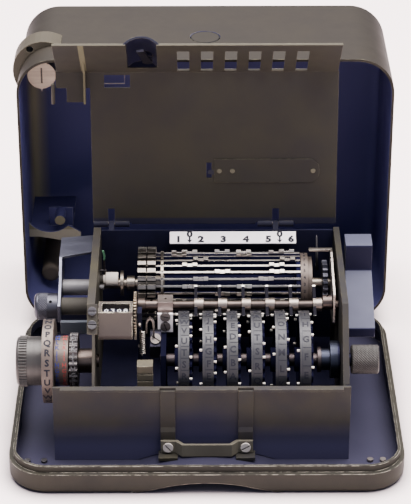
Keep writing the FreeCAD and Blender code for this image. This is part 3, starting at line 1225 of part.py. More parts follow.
def drum_spindle():
    """Shaft, core and slotted end discs of the drum."""
    y, z = DRUM_AXIS_Y, DRUM_AXIS_Z
    shaft = cylinder_x(DRUM_SHAFT_RADIUS, FRAME_LEFT, HANDLE_FACE + HANDLE_THICKNESS - HANDLE_BORE_END, y, z)
    pieces = [cylinder_x(DRUM_CORE_RADIUS, BAR_LEFT, BAR_RIGHT, y, z),
              cylinder_x(DISC_LEFT_RADIUS, DISC_LEFT_X, DISC_LEFT_X + DISC_LEFT_SHEET, y, z),
              cylinder_x(DISC_RIGHT_RADIUS, DISC_RIGHT_X, BAR_RIGHT, y, z),
              cylinder_x(SPINDLE_DISC_RADIUS, SPINDLE_DISC_X, SPINDLE_DISC_X + SPINDLE_DISC_SHEET, y, z),
              cylinder_x(SPINDLE_HUB_RADIUS, SPINDLE_HUB_X, SPINDLE_HUB_X + SPINDLE_HUB_LENGTH, y, z)]
    spindle = shaft.fuse(pieces)
    slots = []
    wide = BAR_THICKNESS / 2 + PIN_FIT
    for i in range(BAR_COUNT):
        slot = box(DISC_LEFT_X - 1, y - wide, z + BAR_RADIUS - BAR_DEPTH - PIN_FIT,
                   BAR_RIGHT + 1, y + wide, z + BAR_RADIUS + 2)
        slots.append(on_drum(slot, i))
    return spindle.cut(Part.makeCompound(slots))


def number_ring():
    """Numbered rim on the drum's right end, with a narrower flange beside it."""
    y, z = DRUM_AXIS_Y, DRUM_AXIS_Z
    x0 = NUMBER_RING_X
    x1 = x0 + NUMBER_RING_WIDTH
    rim = ring_x(NUMBER_RING_RADIUS, NUMBER_RING_RADIUS - 2, x0, x1, y, z)
    web = ring_x(NUMBER_RING_RADIUS - 2, DRUM_SHAFT_RADIUS, x0, x0 + SHEET, y, z)
    side = ring_x(RING_FLANGE_RADIUS, RING_FLANGE_RADIUS - 2, x1 - SHEET, x1 + RING_FLANGE_WIDTH, y, z)
    return rim.fuse([web, side])


def drum_ratchet():
    y, z = DRUM_AXIS_Y, DRUM_AXIS_Z
    x1 = RATCHET_X + RATCHET_WIDTH
    wheel = toothed_disc_x(RATCHET_TEETH, RATCHET_RADIUS, RATCHET_RADIUS - RATCHET_TOOTH, RATCHET_X, x1, y, z)
    return wheel.cut(cylinder_x(DRUM_SHAFT_RADIUS, RATCHET_X - 1, x1 + 1, y, z))


def power_handle():
    """Cranked bar handle on the drum's right end."""
    outline = [(HANDLE_GRIP_BACK, HANDLE_GRIP_TOP), (HANDLE_GRIP_FRONT, HANDLE_GRIP_TOP),
               (HANDLE_GRIP_FRONT, HANDLE_STEP_Z), (HANDLE_TIP_Y, HANDLE_TIP_TOP),
               (HANDLE_TIP_Y, HANDLE_TIP_BOTTOM),
               (HANDLE_TIP_Y + HANDLE_TIP_LENGTH, HANDLE_TIP_BOTTOM - 1), *HANDLE_BELLY]
    x1 = HANDLE_FACE + HANDLE_THICKNESS
    bar = prism_x(outline, HANDLE_FACE, x1)
    long_edges = [e for e in bar.Edges if abs(e.Vertexes[0].X - e.Vertexes[-1].X) > 1]
    bar = bar.makeFillet(HANDLE_ROUND, long_edges)
    bore = cylinder_x(DRUM_SHAFT_RADIUS, HANDLE_FACE - 1, x1 - HANDLE_BORE_END, DRUM_AXIS_Y, DRUM_AXIS_Z)
    return bar.cut(bore)


# ================================================================ guide arms
def guide_arm(x):
    """Bell-crank arm: its tip feels the drum's lugs, its leg the wheel's pins."""
    y, z = ARM_AXIS_Y, ARM_AXIS_Z
    x0 = x - ARM_SHEET / 2
    x1 = x + ARM_SHEET / 2
    lever = prism_x([(y + dy, z + dz) for dy, dz in ARM_OUTLINE], x0, x1)
    hub = cylinder_x(ARM_HUB_RADIUS, x0, x0 + ARM_HUB_LENGTH, y, z)
    bore = cylinder_x(ARM_SHAFT_RADIUS + FIT, x0 - 1, x0 + ARM_HUB_LENGTH + 1, y, z)
    return lever.fuse(hub).cut(bore)


# ================================================================ letter counter
def counter_outline(inset):
    """Side view of the counter case: level top, slanted front, rounded chin."""
    back = COUNTER_BACK - inset
    top = COUNTER_TOP - inset
    front = COUNTER_FRONT + inset
    bottom = COUNTER_BOTTOM + inset
    steps = 6
    points = [(back, bottom), (back, top), (COUNTER_BROW + inset, top)]
    for i in range(steps + 1):
        a = math.pi / 2 * i / steps
        points.append((front + COUNTER_CHIN * (1 - math.cos(a)), bottom + COUNTER_CHIN * (1 - math.sin(a))))
    return points


def counter_case():
    """Hooded case with the reading window, and the pin its digit wheels turn on."""
    wall = FRAME_LEFT + FRAME_SHEET
    shell = prism_x(counter_outline(0), COUNTER_LEFT, COUNTER_RIGHT)
    hollow = prism_x(counter_outline(COUNTER_SHEET), COUNTER_LEFT + COUNTER_SHEET, COUNTER_RIGHT - COUNTER_SHEET)
    first = DIGIT_FIRST_X - DIGIT_WIDTH / 2 - DIGIT_OPENING_MARGIN
    last = DIGIT_FIRST_X + DIGIT_PITCH * (DIGIT_COUNT - 1) + DIGIT_WIDTH / 2 + DIGIT_OPENING_MARGIN
    window = box(first, DIGIT_OPENING_FRONT, COUNTER_TOP - 2, last, DIGIT_OPENING_BACK, COUNTER_TOP + 1)
    lug = box(wall, DIGIT_AXIS_Y - COUNTER_LUG_WIDTH / 2, COUNTER_BOTTOM + COUNTER_SHEET, COUNTER_LEFT,
              DIGIT_AXIS_Y + COUNTER_LUG_WIDTH / 2, COUNTER_BOTTOM + COUNTER_SHEET + COUNTER_LUG_HEIGHT)
    pin = cylinder_x(DIGIT_PIN_RADIUS, wall, COUNTER_RIGHT, DIGIT_AXIS_Y, DIGIT_AXIS_Z)
    return [shell.cut(hollow).fuse(lug).cut(window).cut(pin), pin]


def digit_wheel(index):
    x = DIGIT_FIRST_X + index * DIGIT_PITCH
    return ring_x(DIGIT_RADIUS, DIGIT_PIN_RADIUS + FIT, x - DIGIT_WIDTH / 2, x + DIGIT_WIDTH / 2,
                  DIGIT_AXIS_Y, DIGIT_AXIS_Z)


def counter_gear():
    """Toothed wheel beside the counter, on its own stub shaft."""
    x0 = COUNTER_GEAR_X - COUNTER_GEAR_SHEET / 2
    x1 = COUNTER_GEAR_X + COUNTER_GEAR_SHEET / 2
    wheel = toothed_disc_x(COUNTER_GEAR_TEETH, COUNTER_GEAR_RADIUS, COUNTER_GEAR_RADIUS - COUNTER_GEAR_TOOTH,
                           x0, x1, COUNTER_GEAR_Y, COUNTER_GEAR_Z)
    return wheel.cut(cylinder_x(COUNTER_SHAFT_RADIUS + FIT, x0 - 1, x1 + 1, COUNTER_GEAR_Y, COUNTER_GEAR_Z))


def counter_gear_post():
    """Stud that the counter gear turns on, carried by a post from the deck."""
    x0 = COUNTER_GEAR_X + COUNTER_GEAR_SHEET / 2 + GAP
    y, z = COUNTER_GEAR_Y, COUNTER_GEAR_Z
    stud = cylinder_x(COUNTER_SHAFT_RADIUS, COUNTER_GEAR_X - COUNTER_GEAR_SHEET / 2 - GAP, x0 + 2, y, z)
    post = box(x0, y - COUNTER_POST_HALF, DECK_HEIGHT,
               x0 + COUNTER_POST_SHEET, y + COUNTER_POST_HALF, z + COUNTER_POST_HALF)
    return stud.fuse(post)


# ================================================================ left side unit
def type_shaft():
    shaft = cylinder_x(SET_SHAFT_RADIUS, SET_KNOB_FACE + SET_SHAFT_START, FRAME_LEFT + FRAME_SHEET + SHEET,
                       SET_AXIS_Y, SET_AXIS_Z)
    sleeve = cylinder_x(SET_SLEEVE_RADIUS, TYPE_WHEEL_RIGHT, FRAME_LEFT - GAP, SET_AXIS_Y, SET_AXIS_Z)
    return shaft.fuse(sleeve)


def setting_knob():
    """Knurled rim with a rounded outer edge, and a plain body up to the letter ring."""
    y, z = SET_AXIS_Y, SET_AXIS_Z
    rim_right = SET_KNOB_FACE + SET_RIM_WIDTH
    core = cylinder_x(SET_RIM_RADIUS - KNURL_DEPTH, SET_KNOB_FACE, rim_right, y, z)
    round_edges = [e for e in core.Edges if e.Curve.TypeId == "Part::GeomCircle"]
    face = [e for e in round_edges if e.Vertexes[0].X < SET_KNOB_FACE + 1]
    core = core.makeFillet(SET_RIM_ROUND, face)
    ridges = knurled_x(SET_RIM_RADIUS, KNURL_DEPTH, SET_RIM_RIDGES,
                       SET_KNOB_FACE + SET_RIM_ROUND, rim_right - KNURL_DEPTH, y, z)
    body = cylinder_x(SET_KNOB_RADIUS, rim_right, LETTER_RING_LEFT, y, z)
    bore = cylinder_x(SET_SHAFT_RADIUS, SET_KNOB_FACE + SET_SHAFT_START, LETTER_RING_LEFT + 1, y, z)
    return core.fuse([ridges, body]).cut(bore)


def letter_ring():
    return ring_x(LETTER_RING_RADIUS, SET_SHAFT_RADIUS, LETTER_RING_LEFT, LETTER_RING_RIGHT,
                  SET_AXIS_Y, SET_AXIS_Z)


def print_disc():
    return ring_x(PRINT_DISC_RADIUS, SET_SHAFT_RADIUS, PRINT_DISC_LEFT, PRINT_DISC_RIGHT, SET_AXIS_Y, SET_AXIS_Z)


def type_wheel():
    wheel = toothed_disc_x(LETTER_COUNT, TYPE_WHEEL_RADIUS, TYPE_WHEEL_RADIUS - TYPE_DEPTH,
                           TYPE_WHEEL_LEFT, TYPE_WHEEL_RIGHT, SET_AXIS_Y, SET_AXIS_Z)
    bore = cylinder_x(SET_SHAFT_RADIUS, TYPE_WHEEL_LEFT - 1, TYPE_WHEEL_RIGHT + 1, SET_AXIS_Y, SET_AXIS_Z)
    return wheel.cut(bore)


def feed_roller():
    y, z = FEED_AXIS_Y, FEED_AXIS_Z
    roller = cylinder_x(FEED_ROLLER_RADIUS, FEED_ROLLER_LEFT, FEED_ROLLER_RIGHT, y, z)
    shaft = cylinder_x(FEED_SHAFT_RADIUS, FEED_KNOB_LEFT + FEED_BORE_START, FRAME_LEFT + FRAME_SHEET + 2, y, z)
    return roller.fuse(shaft)


def feed_knob():
    y, z = FEED_AXIS_Y, FEED_AXIS_Z
    knob = cylinder_x(FEED_KNOB_RADIUS, FEED_KNOB_LEFT, BRACKET_LEFT - GAP, y, z)
    round_edges = [e for e in knob.Edges if e.Curve.TypeId == "Part::GeomCircle"]
    face = [e for e in round_edges if e.Vertexes[0].X < FEED_KNOB_LEFT + 1]
    knob = knob.makeFillet(FEED_KNOB_ROUND, face)
    hole = cylinder_y(DIMPLE_RADIUS, y - FEED_KNOB_RADIUS - 1, y - FEED_KNOB_RADIUS / 2,
                      FEED_KNOB_LEFT + FEED_HOLE_FROM_FACE, z)
    hole.rotate(Vector(0, y, z), Vector(1, 0, 0), -FEED_HOLE_TILT)
    bore = cylinder_x(FEED_SHAFT_RADIUS, FEED_KNOB_LEFT + FEED_BORE_START, BRACKET_LEFT + 1, y, z)
    return knob.cut(hole).cut(bore)


def pressure_roller():
    y, z = PRESS_AXIS_Y, PRESS_AXIS_Z
    roller = cylinder_x(PRESS_ROLLER_RADIUS, PRESS_ROLLER_LEFT, PRESS_ROLLER_RIGHT, y, z)
    shaft = cylinder_x(PRESS_SHAFT_RADIUS, BRACKET_LEFT, FRAME_LEFT + FRAME_SHEET + 2, y, z)
    return roller.fuse(shaft)


def tape_bracket():
    """Bent sheet outside the left plate that carries the two tape rollers."""
    t = FRAME_SHEET
    top = prism_z([(BRACKET_LEFT, BRACKET_REAR), (FRAME_LEFT, BRACKET_REAR + BRACKET_SKEW_REAR),
                   (FRAME_LEFT, BRACKET_SHOULDER + BRACKET_SKEW_FRONT), (BRACKET_LEFT, BRACKET_SHOULDER)],
                  BRACKET_TOP - t, BRACKET_TOP)
    cheek = prism_x([(BRACKET_REAR, BRACKET_TOP), (BRACKET_SHOULDER, BRACKET_TOP), (BRACKET_NECK_Y, BRACKET_NECK_Z),
                     (BRACKET_TIP_Y, BRACKET_TIP_TOP), (BRACKET_TIP_Y, BRACKET_TIP_BOTTOM),
                     (BRACKET_SHOULDER - 1, BRACKET_TIP_BOTTOM), (BRACKET_REAR, BRACKET_REAR_BOTTOM)],
                    BRACKET_LEFT, BRACKET_LEFT + t)
    x0 = BRACKET_LEFT - 1
    x1 = BRACKET_LEFT + t + 1
    bores = [cylinder_x(FEED_SHAFT_RADIUS + FIT, x0, x1, FEED_AXIS_Y, FEED_AXIS_Z),
             cylinder_x(PRESS_SHAFT_RADIUS + FIT, x0, x1, PRESS_AXIS_Y, PRESS_AXIS_Z)]
    return top.fuse(cheek).cut(Part.makeCompound(bores)).removeSplitter()


def tape_guide():
    return box(BRACKET_LEFT + FRAME_SHEET, TAPE_GUIDE_Y, TAPE_GUIDE_TOP - TAPE_GUIDE_HEIGHT,
               FRAME_LEFT, TAPE_GUIDE_Y + 2.0, TAPE_GUIDE_TOP)


# ================================================================ files
def main():
    os.makedirs("parts", exist_ok=True)
    write("base_tray", base_tray())
    write("hinge_pins", *hinge_pins())
    write("front_plate", front_plate())
    write("front_straps", *front_straps())
    write("front_catch_bar", front_catch_bar())
    write("frame_screws", *frame_screws(), *tray_studs())
    write("left_side_plate", left_side_plate())
    write("right_side_plate", right_side_plate())
    write("rear_plate", rear_plate())
    write("mechanism_deck", mechanism_deck())
    write("wheel_bearing_plate", wheel_bearing_plate(), arm_shaft_block())
    write("arm_shaft", arm_shaft())
    write("retainer_plate", retainer_plate())
    write("clamp_block", clamp_block())
    write("drum_end_bracket", drum_end_bracket())
    write("scale_strip", scale_strip())
    write("cover_catch_block", cover_catch_block())
    write("counter_case", *counter_case())
    write("tape_bracket", tape_bracket())
    write("tape_guide", tape_guide())

    write("drum_spindle", drum_spindle())
    write("slide_bars", *[slide_bar(i) for i in range(BAR_COUNT)])
    write("bar_lugs", *bar_lugs())
    write("number_ring", number_ring())
    write("drum_ratchet", drum_ratchet())
    write("power_handle", power_handle())

    for i, (x, letters) in enumerate(zip(WHEEL_X, WHEEL_LETTER_COUNTS)):
        write("key_wheel_%d" % (i + 1), key_wheel(x, letters), *wheel_pins(x, letters))
    for i, x in enumerate(ARM_X):
        write("guide_arm_%d" % (i + 1), guide_arm(x))
    write("key_wheel_shaft", key_wheel_shaft())
    write("reset_knob", reset_knob())

    write("type_shaft", type_shaft())
    write("setting_knob", setting_knob())
    write("letter_ring", letter_ring())
    write("print_disc", print_disc())
    write("type_wheel", type_wheel())
    write("feed_roller", feed_roller())
    write("feed_knob", feed_knob())
    write("pressure_roller", pressure_roller())
    write("counter_units_wheel", digit_wheel(DIGIT_COUNT - 1))
    write("counter_tens_wheels", *[digit_wheel(i) for i in range(DIGIT_COUNT - 1)])
    write("counter_gear", counter_gear())

    write("outer_lid", outer_lid())
    write("lid_latch_button", lid_latch_button())
    write("lid_strap_loop", lid_strap_loop())
    write("lid_canister", lid_canister())
    write("lid_tool_tube", lid_tool_tube())
    write("lid_tape_cradle", *lid_tape_cradle())
    write("inner_cover", inner_cover())
    write("cover_latch", cover_latch())
    write("cover_spring", cover_spring(), *cover_rivets())


main()
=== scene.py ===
import math
from functools import lru_cache

import bmesh
import bpy
from mathutils import Matrix, Vector


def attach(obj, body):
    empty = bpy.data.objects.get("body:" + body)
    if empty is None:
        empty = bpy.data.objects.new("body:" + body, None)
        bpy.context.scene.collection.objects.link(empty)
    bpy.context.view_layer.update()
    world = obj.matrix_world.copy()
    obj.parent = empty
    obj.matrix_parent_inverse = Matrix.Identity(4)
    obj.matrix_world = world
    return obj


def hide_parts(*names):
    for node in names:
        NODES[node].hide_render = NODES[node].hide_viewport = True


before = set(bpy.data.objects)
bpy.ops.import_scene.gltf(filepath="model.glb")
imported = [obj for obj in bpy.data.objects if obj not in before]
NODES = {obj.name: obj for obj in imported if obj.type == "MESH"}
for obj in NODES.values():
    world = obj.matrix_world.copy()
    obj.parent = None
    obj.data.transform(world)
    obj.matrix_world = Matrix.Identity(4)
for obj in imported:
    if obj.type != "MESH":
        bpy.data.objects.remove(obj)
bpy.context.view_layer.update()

MM = 0.001

# ---- the view
IMAGE_HEIGHT = 504
FOCAL_PIXELS = 2140.857
SENSOR_MM = 36.0
CAMERA_PLACE = (-3.876, -855.798, 549.024)
CAMERA_AIM = (-0.34, 0.0, 84.463)
CAMERA_ROLL = -0.046
CAMERA_CLIP = (0.05, 50.0)

# ---- floor and light, in metres
FLOOR_SIZE = 12.0
FLOOR_PLACE = (0.0, 1.0, 0.0)
FLOOR_TONE = (1.0, 0.85, 0.836)
FLOOR_ROUGHNESS = 0.8
# painted contact shadow on the floor: its colour, how far it reaches, and its mask range
FLOOR_SHADE = (0.06, 0.055, 0.075)
FLOOR_SHADE_REACH = 0.014
FLOOR_SHADE_RANGE = (0.25, 0.95)
ROOM_TONE = (0.60, 0.66, 1.0, 1.0)
ROOM_STRENGTH = 0.5
# name, place, aim, size, power in watts, colour
LAMPS = (
    ("top_box", (0.10, 0.20, 1.44), (0, 0.03, 0.05), (2.0, 1.5), 190.0, (1.0, 0.95, 0.925)),
    ("right_box", (1.3, -0.3, 0.75), (0, 0.05, 0.08), (0.6, 0.6), 4.0, (1.0, 0.96, 0.90)),
    ("front_fill", (-0.4, -1.6, 0.9), (0, 0, 0.08), (1.2, 0.8), 5.0, (0.90, 0.92, 1.0)),
)

# ---- axes along X, (y, z) in mm
WHEEL_AXIS = (-16.0, 36.9)
DRUM_AXIS = (30.0, 51.4)
ARM_AXIS = (3.0, 55.0)
SETTING_AXIS = (-20.0, 39.0)
COUNTER_AXIS = (-19.0, 60.3)
FEED_AXIS = (12.0, 49.3)
BOSS_AXIS = (30.0, 53.6)
COVER_HINGE = (55.0, 70.2)

# ---- key wheels, in mm and degrees
WHEEL_RADIUS = 22.4
WHEEL_FIRST_X = -10.3
WHEEL_PITCH = 10.96
WHEEL_HALF_WIDTH = 2.5
WHEEL_PIN_INSIDE = 19.9
WHEEL_PIN_PROUD = 0.02
WHEEL_RIM_DEPTH = 0.05
WHEEL_RULE = (-1.55, -1.25)
WHEEL_LETTER_SHIFT = 0.2
WHEEL_LETTERS = (26, 25, 23, 21, 19, 17)
WHEEL_TURNS = (-223.0, -45.0, 12.5, -267.5, -187.5, -71.3)
WHEEL_TICK = ((-1.2, -0.16), (2.3, -0.16), (2.3, 0.16), (-1.2, 0.16))
# whole pitches added so that a remainder is never negative
PITCHES_AHEAD = 10
ALPHABET = "ABCDEFGHIJKLMNOPQRSTUVWXYZ"
SHORT_ALPHABET = ALPHABET.replace("W", "")

# ---- setting unit and drum end, rims as (x, radius) in mm
LETTER_RING = (-71.6, 19.2)
LETTER_RING_START = 277.8
PRINT_DISC_RADIUS = 11.4
BLUE_ROW_X = -67.6
RED_ROW_X = -64.3
TYPE_WHEEL = (-60.25, 12.8)
NUMBER_RING = (46.2, 14.2)
BAR_COUNT = 27
BAR_EDGE_RADIUS = 14.35

# ---- counter and scale strip, in mm
DIGITS = "0123456789"
DIGIT_RADIUS = 4.6
DIGIT_FIRST_X = -45.2
DIGIT_PITCH = 2.9
DIGIT_SHOWN_AT = 88
COUNT_SHOWN = "0308"
STRIP_FRONT = (44.9, 64.8)
STRIP_TILT = 33.0
STRIP_FIRST_X = -13.1
STRIP_PITCH = 10.77
STRIP_DIGITS_UP = 2.4
STRIP_ZEROS_UP = 5.2
STRIP_ZERO_GAPS = (0, 4)
STRIP_ARROW = ((0.0, 0.2), (1.3, 2.1), (0.42, 1.8), (0.42, 3.3),
               (-0.42, 3.3), (-0.42, 1.8), (-1.3, 2.1))

# ---- lettering
# height in mm, added stroke weight in mm, stretch sideways
WHEEL_STYLE = (3.1, 0.10, 1.0)
RING_STYLE = (3.1, 0.12, 1.0)
PRINT_STYLE = (2.1, 0.04, 1.0)
TYPE_STYLE = (2.4, 0.04, 1.0)
DRUM_STYLE = (1.5, 0.02, 1.0)
COUNT_STYLE = (2.4, -0.05, 1.3)
STRIP_STYLE = (3.2, 0.26, 1.25)
ZERO_STYLE = (3.4, 0.24, 1.15)
CAP_SHARE = 0.73
LETTER_SHEET = 0.16
LETTER_CURVE_STEPS = 2
LETTER_WELD = 0.001
LETTER_STRIPS = 5

# ---- areas with a colour of their own, and areas of painted light and shade, in mm
# least share of a surface's direction that counts as facing up or to the front
FLOOR_UP = 0.2
EDGE_UP = 0.5
FRONT = 0.5
HOOD_FRONT = 0.2
HANDLE_FRONT = 0.8
LID_CENTRE = (0.0, 110.0, 76.0)
LID_CORNER_X = (-80.5, -87.0)
LID_CORNER_Y = (118.0, 140.0)
TRAY_CENTRE = (0.0, 0.0, 8.0)
TRAY_FLOOR_X = (-80.0, 80.0)
TRAY_FLOOR_Y = (-61.0, 61.0)
ARM_HUB_RADIUS = 3.25
ARM_TIP_RADIUS = 9.0
BAR_TEETH_RIGHT = -21.4
CORE_X = (-19.5, 44.4)
CORE_RADIUS = 14.1
BOSS_RADIUS = 3.6
BOSS_LEFT = -48.5
BLOCK_SHADE_TOP = 51.2
RETAINER_SCREWS_X = (-22.0, -15.5)
RETAINER_SCREWS_Z = (47.0, 56.0)
FLANGE_SCREWS_RIGHT = -45.0
CATCH_SCREWS_BACK = -48.2
CATCH_SCREWS_TOP = 16.0
HUB_END_BOTTOM = 43.5
CRADLE_BAND_BACK = 104.0
SLEEVE_X = (52.4, 60.0)
SLEEVE_FLANGE_X = (59.9, 67.5)
LOWER_FRONT_Z = (21.0, 9.0)
MIDDLE_FRONT_X = -6.0
MIDDLE_FRONT_REACH = (30.0, 8.0)
MIDDLE_FRONT_Z = (33.0, 22.0)
COVER_LEAN = 0.0875
COVER_WEB_FRONT = 46.8
COVER_WEB_BOTTOM = 125.0
COVER_WEB_X = (-57.8, -55.3)
COVER_EDGE_BOTTOM = 165.0
BARREL_RADIUS = 3.2
HOOD_SIDES = (-37.2, -21.2)
HOOD_SLOPE = (0.0, 0.68, 0.74)
HOOD_DEPTH = 150.6
RIVETS = ((6.5, 97.6), (12.7, 97.6), (51.0, 97.6))
RIVET_RADIUS = 1.15
CANISTER = (-79.0, 130.9)
COIN_SLOT_HALF = (0.45, 5)
COIN_SLOT_Y = (93.35, 95.0)
BUTTON_PLACE = (0.0, 103.4)
BUTTON_RING_RADIUS = 6.55

# ---- small pieces, in mm: rods as (start, end, radius), sections as (thickness, depth)
PAWL_PATH = ((-27.5, -10.0, 48.0), (-27.5, -10.0, 51.0), (-27.4, -10.0, 53.2),
             (-26.8, -10.0, 54.8), (-25.8, -10.0, 55.5), (-24.8, -10.0, 54.8),
             (-24.2, -10.0, 53.2), (-24.1, -10.0, 50.0), (-24.1, -10.0, 46.0))
PAWL_SECTION = (0.8, 2.0)
STUD_X = -30.6
STUD_Y = (-9.0, -12.6)
STUD_HEIGHTS = (53.0, 41.8)
STUD_RADIUS = 0.9
COIL_MIDDLE = (-29.4, -12.4)
COIL_RADIUS = 1.1
COIL_WIRE = 0.28
COIL_ENDS = (38.0, 50.0)
COIL_TURNS = 12
HOOK_Y = (-9.5, -13.8)
HOOK_RADIUS = 0.35
STOP_ROD = ((-71.3, 61.4, 141.0), (-71.5, 60.6, 130.6), 0.95)
SIGHT_PATH = ((-47.6, 61.4, 140.9), (-37.8, 61.4, 140.9), (-37.8, 61.7, 145.4))
SIGHT_SECTION = (0.35, 0.5)
SLOT_PLACE = (56.80, 96.8)
SLOT_OUTLINE = ((1.1, -0.8), (1.5, -1.1), (3.6, -1.1), (4.0, -0.8),
                (4.0, 0.8), (3.6, 1.1), (1.5, 1.1), (1.1, 0.8))
LEVER_PATH = ((-48.0, 30.0, 56.4), (-48.0, 30.0, 60.4), (-48.1, 30.0, 64.4))
LEVER_TIP_PATH = ((-48.1, 30.0, 64.0), (-47.8, 30.0, 65.8), (-48.5, 30.0, 69.0))
LEVER_SECTION = (0.9, 0.8)
LEVER_PIVOT = ((-50.6, 30.0, 58.4), (-46.9, 30.0, 58.4), 0.7)
INDEX_ROD = ((53.4, 45.0, 50.0), (52.8, 45.0, 69.0))
INDEX_PROFILE = ((0.0, 0.55), (12.0, 0.55), (13.0, 0.4), (18.2, 0.35), (19.0, 0.1))
INDEX_FOOT = ((53.4, 44.6, 50.4), (53.4, 52.0, 50.4), 0.5)
CANISTER_PIN = ((-79.2, 95.0, 125.0), (-79.2, 95.0, 121.9), 0.4)
ROD_END_STEPS = (0.35, 0.75, 0.95)
# left, right, radius, bore
RESET_KNURL = (66.3, 78.9, 6.8)
FEED_KNURL = (-78.6, -73.6, 6.4, 5.8)
KNURL_COUNT = 36
KNURL_STEPS = 6
KNURL_DEPTH = 0.32


# ======== shader building blocks
def new_material(name):
    material = bpy.data.materials.new(name)
    material.use_nodes = True
    material.node_tree.nodes.clear()
    return material, material.node_tree


def add(tree, kind, **settings):
    node = tree.nodes.new("ShaderNode" + kind)
    for key, value in settings.items():
        setattr(node, key, value)
    return node


def wire(tree, source, target):
    tree.links.new(source, target)


def set_inputs(node, **values):
    for key, value in values.items():
        node.inputs[key.replace("_", " ")].default_value = value


def new_group(name, inputs, outputs):
    """Empty shader group: inputs are (name, type, default), outputs are (name, type)."""
    group = bpy.data.node_groups.new(name, "ShaderNodeTree")
    for label, kind, default in inputs:
        socket = group.interface.new_socket(
            name=label, in_out="INPUT", socket_type="NodeSocket" + kind)
        socket.default_value = default
    for label, kind in outputs:
        group.interface.new_socket(
            name=label, in_out="OUTPUT", socket_type="NodeSocket" + kind)
    return group, group.nodes.new("NodeGroupInput"), group.nodes.new("NodeGroupOutput")


def place_group(tree, group, **values):
    node = tree.nodes.new("ShaderNodeGroup")
    node.node_tree = group
    set_inputs(node, **values)
    return node


def ramp(tree, source, low, high):
    """Values between low and high spread over 0 to 1."""
    node = add(tree, "MapRange")
    set_inputs(node, From_Min=low, From_Max=high)
    wire(tree, source, node.inputs["Value"])
    return node.outputs["Result"]


def maths(tree, operation, a, b):
    node = add(tree, "Math", operation=operation)
    for socket, value in zip(node.inputs, (a, b)):
        if isinstance(value, (int, float)):
            socket.default_value = value
        else:
            wire(tree, value, socket)
    return node.outputs[0]


def vectors(tree, operation, a, b=None):
    """Vector node: b is a tuple, a socket or left out."""
    node = add(tree, "VectorMath", operation=operation)
    wire(tree, a, node.inputs[0])
    if isinstance(b, tuple):
        node.inputs[1].default_value = b
    elif b is not None:
        wire(tree, b, node.inputs[1])
    return node


def blend_colour(tree, factor, a, b):
    node = add(tree, "Mix", data_type="RGBA")
    wire(tree, factor, node.inputs["Factor"])
    for label, value in (("A", a), ("B", b)):
        socket = [s for s in node.inputs if s.name == label and s.type == "RGBA"][0]
        if isinstance(value, tuple):
            socket.default_value = (*value, 1.0)
        else:
            wire(tree, value, socket)
    return [s for s in node.outputs if s.type == "RGBA"][0]


def object_place(tree):
    """Place on the piece in millimetres, as it stands at rest."""
    scaled = vectors(tree, "SCALE", add(tree, "TexCoord").outputs["Object"])
    set_inputs(scaled, Scale=1.0 / MM)
    return scaled.outputs["Vector"]


def axis_distance(tree, axis):
    """Distance in millimetres from an axis that runs along X."""
    moved = vectors(tree, "SUBTRACT", object_place(tree), (0.0, *axis))
    flat = vectors(tree, "MULTIPLY", moved.outputs["Vector"], (0.0, 1.0, 1.0))
    return vectors(tree, "LENGTH", flat.outputs["Vector"]).outputs["Value"]


def along(tree, letter):
    """One coordinate of the place on the piece, in millimetres."""
    split = add(tree, "SeparateXYZ")
    wire(tree, object_place(tree), split.inputs[0])
    return split.outputs[letter]


def looking(tree, letter):
    """One coordinate of the surface's direction."""
    split = add(tree, "SeparateXYZ")
    wire(tree, add(tree, "TexCoord").outputs["Normal"], split.inputs[0])
    return split.outputs[letter]


def both(tree, a, b):
    """Where two masks meet, or a share of one value."""
    return maths(tree, "MULTIPLY", a, b)


def either(tree, a, b):
    return maths(tree, "MAXIMUM", a, b)


def opposite(tree, mask):
    return maths(tree, "SUBTRACT", 1.0, mask)


def above(tree, value, limit):
    return maths(tree, "GREATER_THAN", value, limit)


def below(tree, value, limit):
    return maths(tree, "LESS_THAN", value, limit)


def within(tree, value, low, high):
    return both(tree, above(tree, value, low), below(tree, value, high))


def facing_front(tree, least=FRONT):
    return below(tree, looking(tree, "Y"), -least)


def square_from(tree, letters, place):
    """Squared distance from a place, seen on the plane of two axes."""
    squares = []
    for letter, middle in zip(letters, place):
        offset = maths(tree, "SUBTRACT", along(tree, letter), middle)
        squares.append(both(tree, offset, offset))
    return maths(tree, "ADD", *squares)


def from_wheel_middle(tree):
    """Distance along X from the middle of the nearest key wheel."""
    start = WHEEL_FIRST_X - WHEEL_PITCH * (PITCHES_AHEAD + 0.5)
    shifted = maths(tree, "SUBTRACT", along(tree, "X"), start)
    return maths(tree, "SUBTRACT", maths(tree, "MODULO", shifted, WHEEL_PITCH), WHEEL_PITCH / 2)


def facing_inwards(tree, centre):
    """Mask of the faces that look towards a centre: the inside of a shell."""
    coords = add(tree, "TexCoord").outputs
    away = vectors(tree, "SUBTRACT", coords["Object"], tuple(c * MM for c in centre))
    facing = vectors(tree, "DOT_PRODUCT", away.outputs["Vector"], coords["Normal"])
    return below(tree, facing.outputs["Value"], 0.0)


# turn of the rounded normal, and noise values, between which a mask goes from 0 to 1
RUBBED_TURN = (0.03, 0.16)
RUBBED_SPOTS = (0.42, 0.62)
CLOUD_RANGE = (0.3, 0.7)
SHELTER_RANGE = (0.18, 0.62)


def clouds(tree, coords, scale, detail, roughness):
    """Noise whose scale comes from a socket."""
    node = add(tree, "TexNoise")
    set_inputs(node, Detail=detail, Roughness=roughness)
    wire(tree, coords, node.inputs["Vector"])
    wire(tree, scale, node.inputs["Scale"])
    return node.outputs["Fac"]


